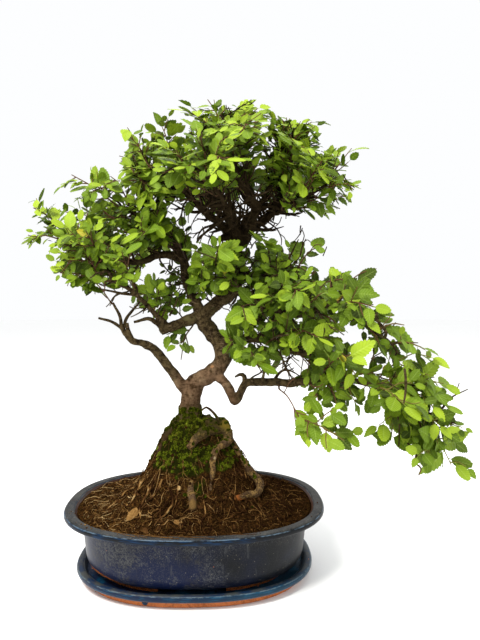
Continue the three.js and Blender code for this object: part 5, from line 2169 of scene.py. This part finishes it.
# The shoots that each bough bears between its sprays: how many, on what share of its length, how long
# they are and which way they lean.
INNER_SHOOTS = [
    InnerShoots(*row) for row in (
        ("crown_leader", 30, 0.34, 1.0, (20, 44), (0.45, -0.3, 0.1)),
        ("crown_left", 16, 0.35),
        ("crown_left_back", 14, 0.35),
        ("crown_right", 28, 0.4, 1.0, (18, 42), (-0.3, -0.5, 0.1)),
        ("crown_edge", 12, 0.3),
        ("crown_right_back", 14, 0.4),
        ("crown_back", 14, 0.4),
        ("crown_front", 12, 0.45),
        ("centre_stem", 16, 0.15, 0.95, (26, 52), (-0.1, -1.1, 0.1)),
        ("left_stem", 16, 0.3, 1.0, (20, 40), (-0.1, -0.4, 0.1)),
        ("left_level", 16, 0.3),
        ("left_back", 12, 0.3),
        ("left_stem", 12, 0.5, 0.9, (18, 36), (0.6, -0.3, 0.3)),
        ("left_stem", 8, 0.1, 0.5, (18, 34), (-0.7, -0.3, -0.1)),
        ("left_sweep", 12, 0.3, 1.0, (20, 38), (0.1, -0.2, 0.0)),
        ("left_sweep", 10, 0.1, 0.6, (18, 38), (0.5, 0.1, 0.6)),
        ("right_twigs", 13, 0.1, 1.0, (20, 40), (0.0, -0.5, 0.1)),
        ("right_back", 12, 0.3),
        ("shoulder", 16, 0.05, 1.0, (22, 42), (-0.1, -0.4, 0.0)),
        ("right_bough", 14, 0.08, 1.0, (20, 38), (0.0, -0.4, 0.1)),
        ("right_bough", 9, 0.45, 1.0, (18, 38), (0.1, -0.3, -0.9)),
        ("low_bough", 24, 0.46, 1.0, (22, 48), (-0.2, -0.3, -0.5)),
    )
]


@dataclass
class Thicket:
    """Bare dark twigs, crooked and forked, between the boughs under the leaves."""

    look: Look
    foliage: Foliage
    first: float = 0.04
    lengths: Pair = (16, 46)
    near: float = 24.0
    step: float = 6.0
    tip_radius: float = 0.45
    draws: random.Random = field(default_factory=lambda: random.Random(77))

    def crooked(self, start: Vector, heading: Vector, length: float, radius: float) -> list[Point]:
        """A crooked twig.

        Args:
            start: where it starts.
            heading: the way it sets out.
            length: how long it is.
            radius: how thick it starts.

        Returns:
            Its points.
        """
        points = [(*start, radius)]
        place = start
        count = max(2, round(length / self.step))
        for k in range(count):
            turn = Vector([self.draws.gauss(0, 0.27) for _ in range(3)])
            heading = (heading + turn + Vector((0, 0, 0.04))).normalized()
            place = place + heading * self.step
            points.append((*place, radius + (self.tip_radius - radius) * (k + 1) / count))
        return smooth_line(points, 2.5)

    def twigs(self, bough: str, count: int) -> list[list[Point]]:
        """The bare twigs of one bough, each with a few forks."""
        parent = bough_line(bough)
        made = []
        for k in range(count):
            share = self.first + (1 - self.first) * (k + self.draws.random()) / count
            point, along = parent.at(min(0.98, share))
            around = Matrix.Rotation(NEXT_SHOOT * k + self.draws.uniform(-0.7, 0.7), 3, along)
            across = around @ along.orthogonal().normalized()
            away = (across + along * self.draws.uniform(0, 0.9)).normalized()
            stout = 3.6 * (1 - k / count) if bough.startswith("crown") else 1.1
            length = self.draws.uniform(*self.lengths)
            line = self.crooked(point, away, length, 0.8 + stout * self.draws.random() ** 1.4)
            made.append(line)
            for _ in range(self.draws.randint(1, 3)):
                seat = self.draws.randrange(len(line) // 3, len(line) - 1)
                here, there = Vector(line[seat][:3]), Vector(line[seat + 1][:3])
                heading = ((there - here).normalized() + drawn(self.draws, 1) * 0.9).normalized()
                made.append(self.crooked(here, heading, self.draws.uniform(8, 22), line[seat][3] * 0.75))
        return [line for line in made if self.kept(line)]

    def kept(self, line: Sequence[Point]) -> bool:
        """Whether a twig stays in the crown."""
        tip = Vector(line[-1][:3])
        close = self.foliage.guides.find(tip)[2] < self.near
        return close and encloses(CROWN_OUTLINE, self.foliage.view.seen(tip))

    def build(self) -> Piece:
        """Grows the bare twigs of every leafy bough."""
        lines = []
        for bough, count in THICKET_TWIGS.items():
            lines += self.twigs(bough, count)
        return finished(stems("bare_twigs", lines, THIN_ROUND, self.look), "bark")


# How many bare twigs each bough has.
THICKET_TWIGS = {
    "crown_leader": 50, "crown_left": 50, "crown_left_back": 26, "crown_right": 50, "crown_edge": 20,
    "crown_right_back": 26, "crown_back": 30, "crown_front": 36, "centre_stem": 22, "left_stem": 26,
    "left_level": 26, "left_back": 10, "left_sweep": 18, "right_twigs": 28, "right_back": 14,
    "shoulder": 36, "right_bough": 24, "low_bough": 26,
}


@dataclass
class Studio:
    """Floor, light and camera."""

    view: View
    lit: Place = (0.03, 0, 0.25)
    lamps: tuple[tuple[str, Place, float, float, Place], ...] = (
        ("key", (-0.6, -0.8, 1.65), 0.6, 44, (1.0, 0.98, 0.94)),
        ("fill", (1.1, -0.7, 0.7), 1.0, 3, (0.95, 0.97, 1.0)),
        ("back", (0.2, 1.1, 1.2), 1.0, 6, (1.0, 1.0, 1.0)),
    )

    def light(self, name: str, place: Place, size: float, power: float, colour: Place) -> None:
        """Hangs one soft square light that faces the tree.

        Args:
            name: its name.
            place: where it hangs, in metres.
            size: the length of its side, in metres.
            power: how strong it is, in watts.
            colour: its colour.
        """
        data = bpy.data.lights.new(name, "AREA")
        data.size = size
        data.energy = power
        data.color = colour
        lamp = bpy.data.objects.new(name, data)
        lamp.location = place
        towards = Vector(self.lit) - Vector(place)
        lamp.rotation_euler = towards.to_track_quat("-Z", "Y").to_euler()
        bpy.context.scene.collection.objects.link(lamp)

    def build(self) -> None:
        """Sets the studio up."""
        self.view.camera()
        bpy.context.scene.view_settings.view_transform = "Standard"
        floor = shape("circle", vertices=64, radius=9, fill_type="NGON", location=(0, 0, -0.0002))
        floor.name = "floor"
        sheet = Sheet("floor")
        floor.data.materials.append(sheet.dress(srgb(253, 253, 252), 0.9))
        world = bpy.data.worlds.new("studio")
        world.use_nodes = True
        sky = world.node_tree.nodes["Background"]
        sky.inputs["Color"].default_value = srgb(253, 254, 255)
        sky.inputs["Strength"].default_value = 1.0
        bpy.context.scene.world = world
        for lamp in self.lamps:
            self.light(*lamp)


def write_sizes() -> None:
    """Updates the view layer."""
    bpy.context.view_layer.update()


def main() -> None:
    """Builds the bonsai from the saucer up."""
    logging.basicConfig(level=logging.INFO, format="%(name)s %(message)s")
    noise.seed_set(NOISE_SEED)
    view = View()
    Studio(view).build()
    Saucer(SaucerGlaze().material()).build()
    pot = Pot(PotGlaze().material()).build()
    net_look = NetFinish().material()
    for name in ("drainage_net_left", "drainage_net_right"):
        looks = frame["nodes"][name].data.materials
        looks.clear()
        looks.append(net_look)
    mound = Mound(SoilFinish().material())
    mound.build()
    bark = BarkFinish().material()
    tree = Tree(bark, mound).build()
    MossCover(MossFinish().material(), mound, skin(tree)).build()
    Litter(FibreFinish().material(), mound, skin(pot)).build()
    twig = TwigFinish().material()
    foliage = Foliage(LeafFinish().material(), twig, view)
    sprays = [
        Spray(bough, number, tips)
        for bough, groups in SPRAYS.items() for number, tips in enumerate(groups, start=1)
    ]
    foliage.prepare([main for spray in sprays for main in spray.grow(foliage)])
    for spray in sprays:
        spray.build(foliage)
    for shoots in INNER_SHOOTS:
        shoots.build(foliage)
    foliage.clear_away()
    log.info("%d leaves", foliage.count)
    Thicket(bark, foliage).build()
    write_sizes()


if __name__ == "__main__":
    main()
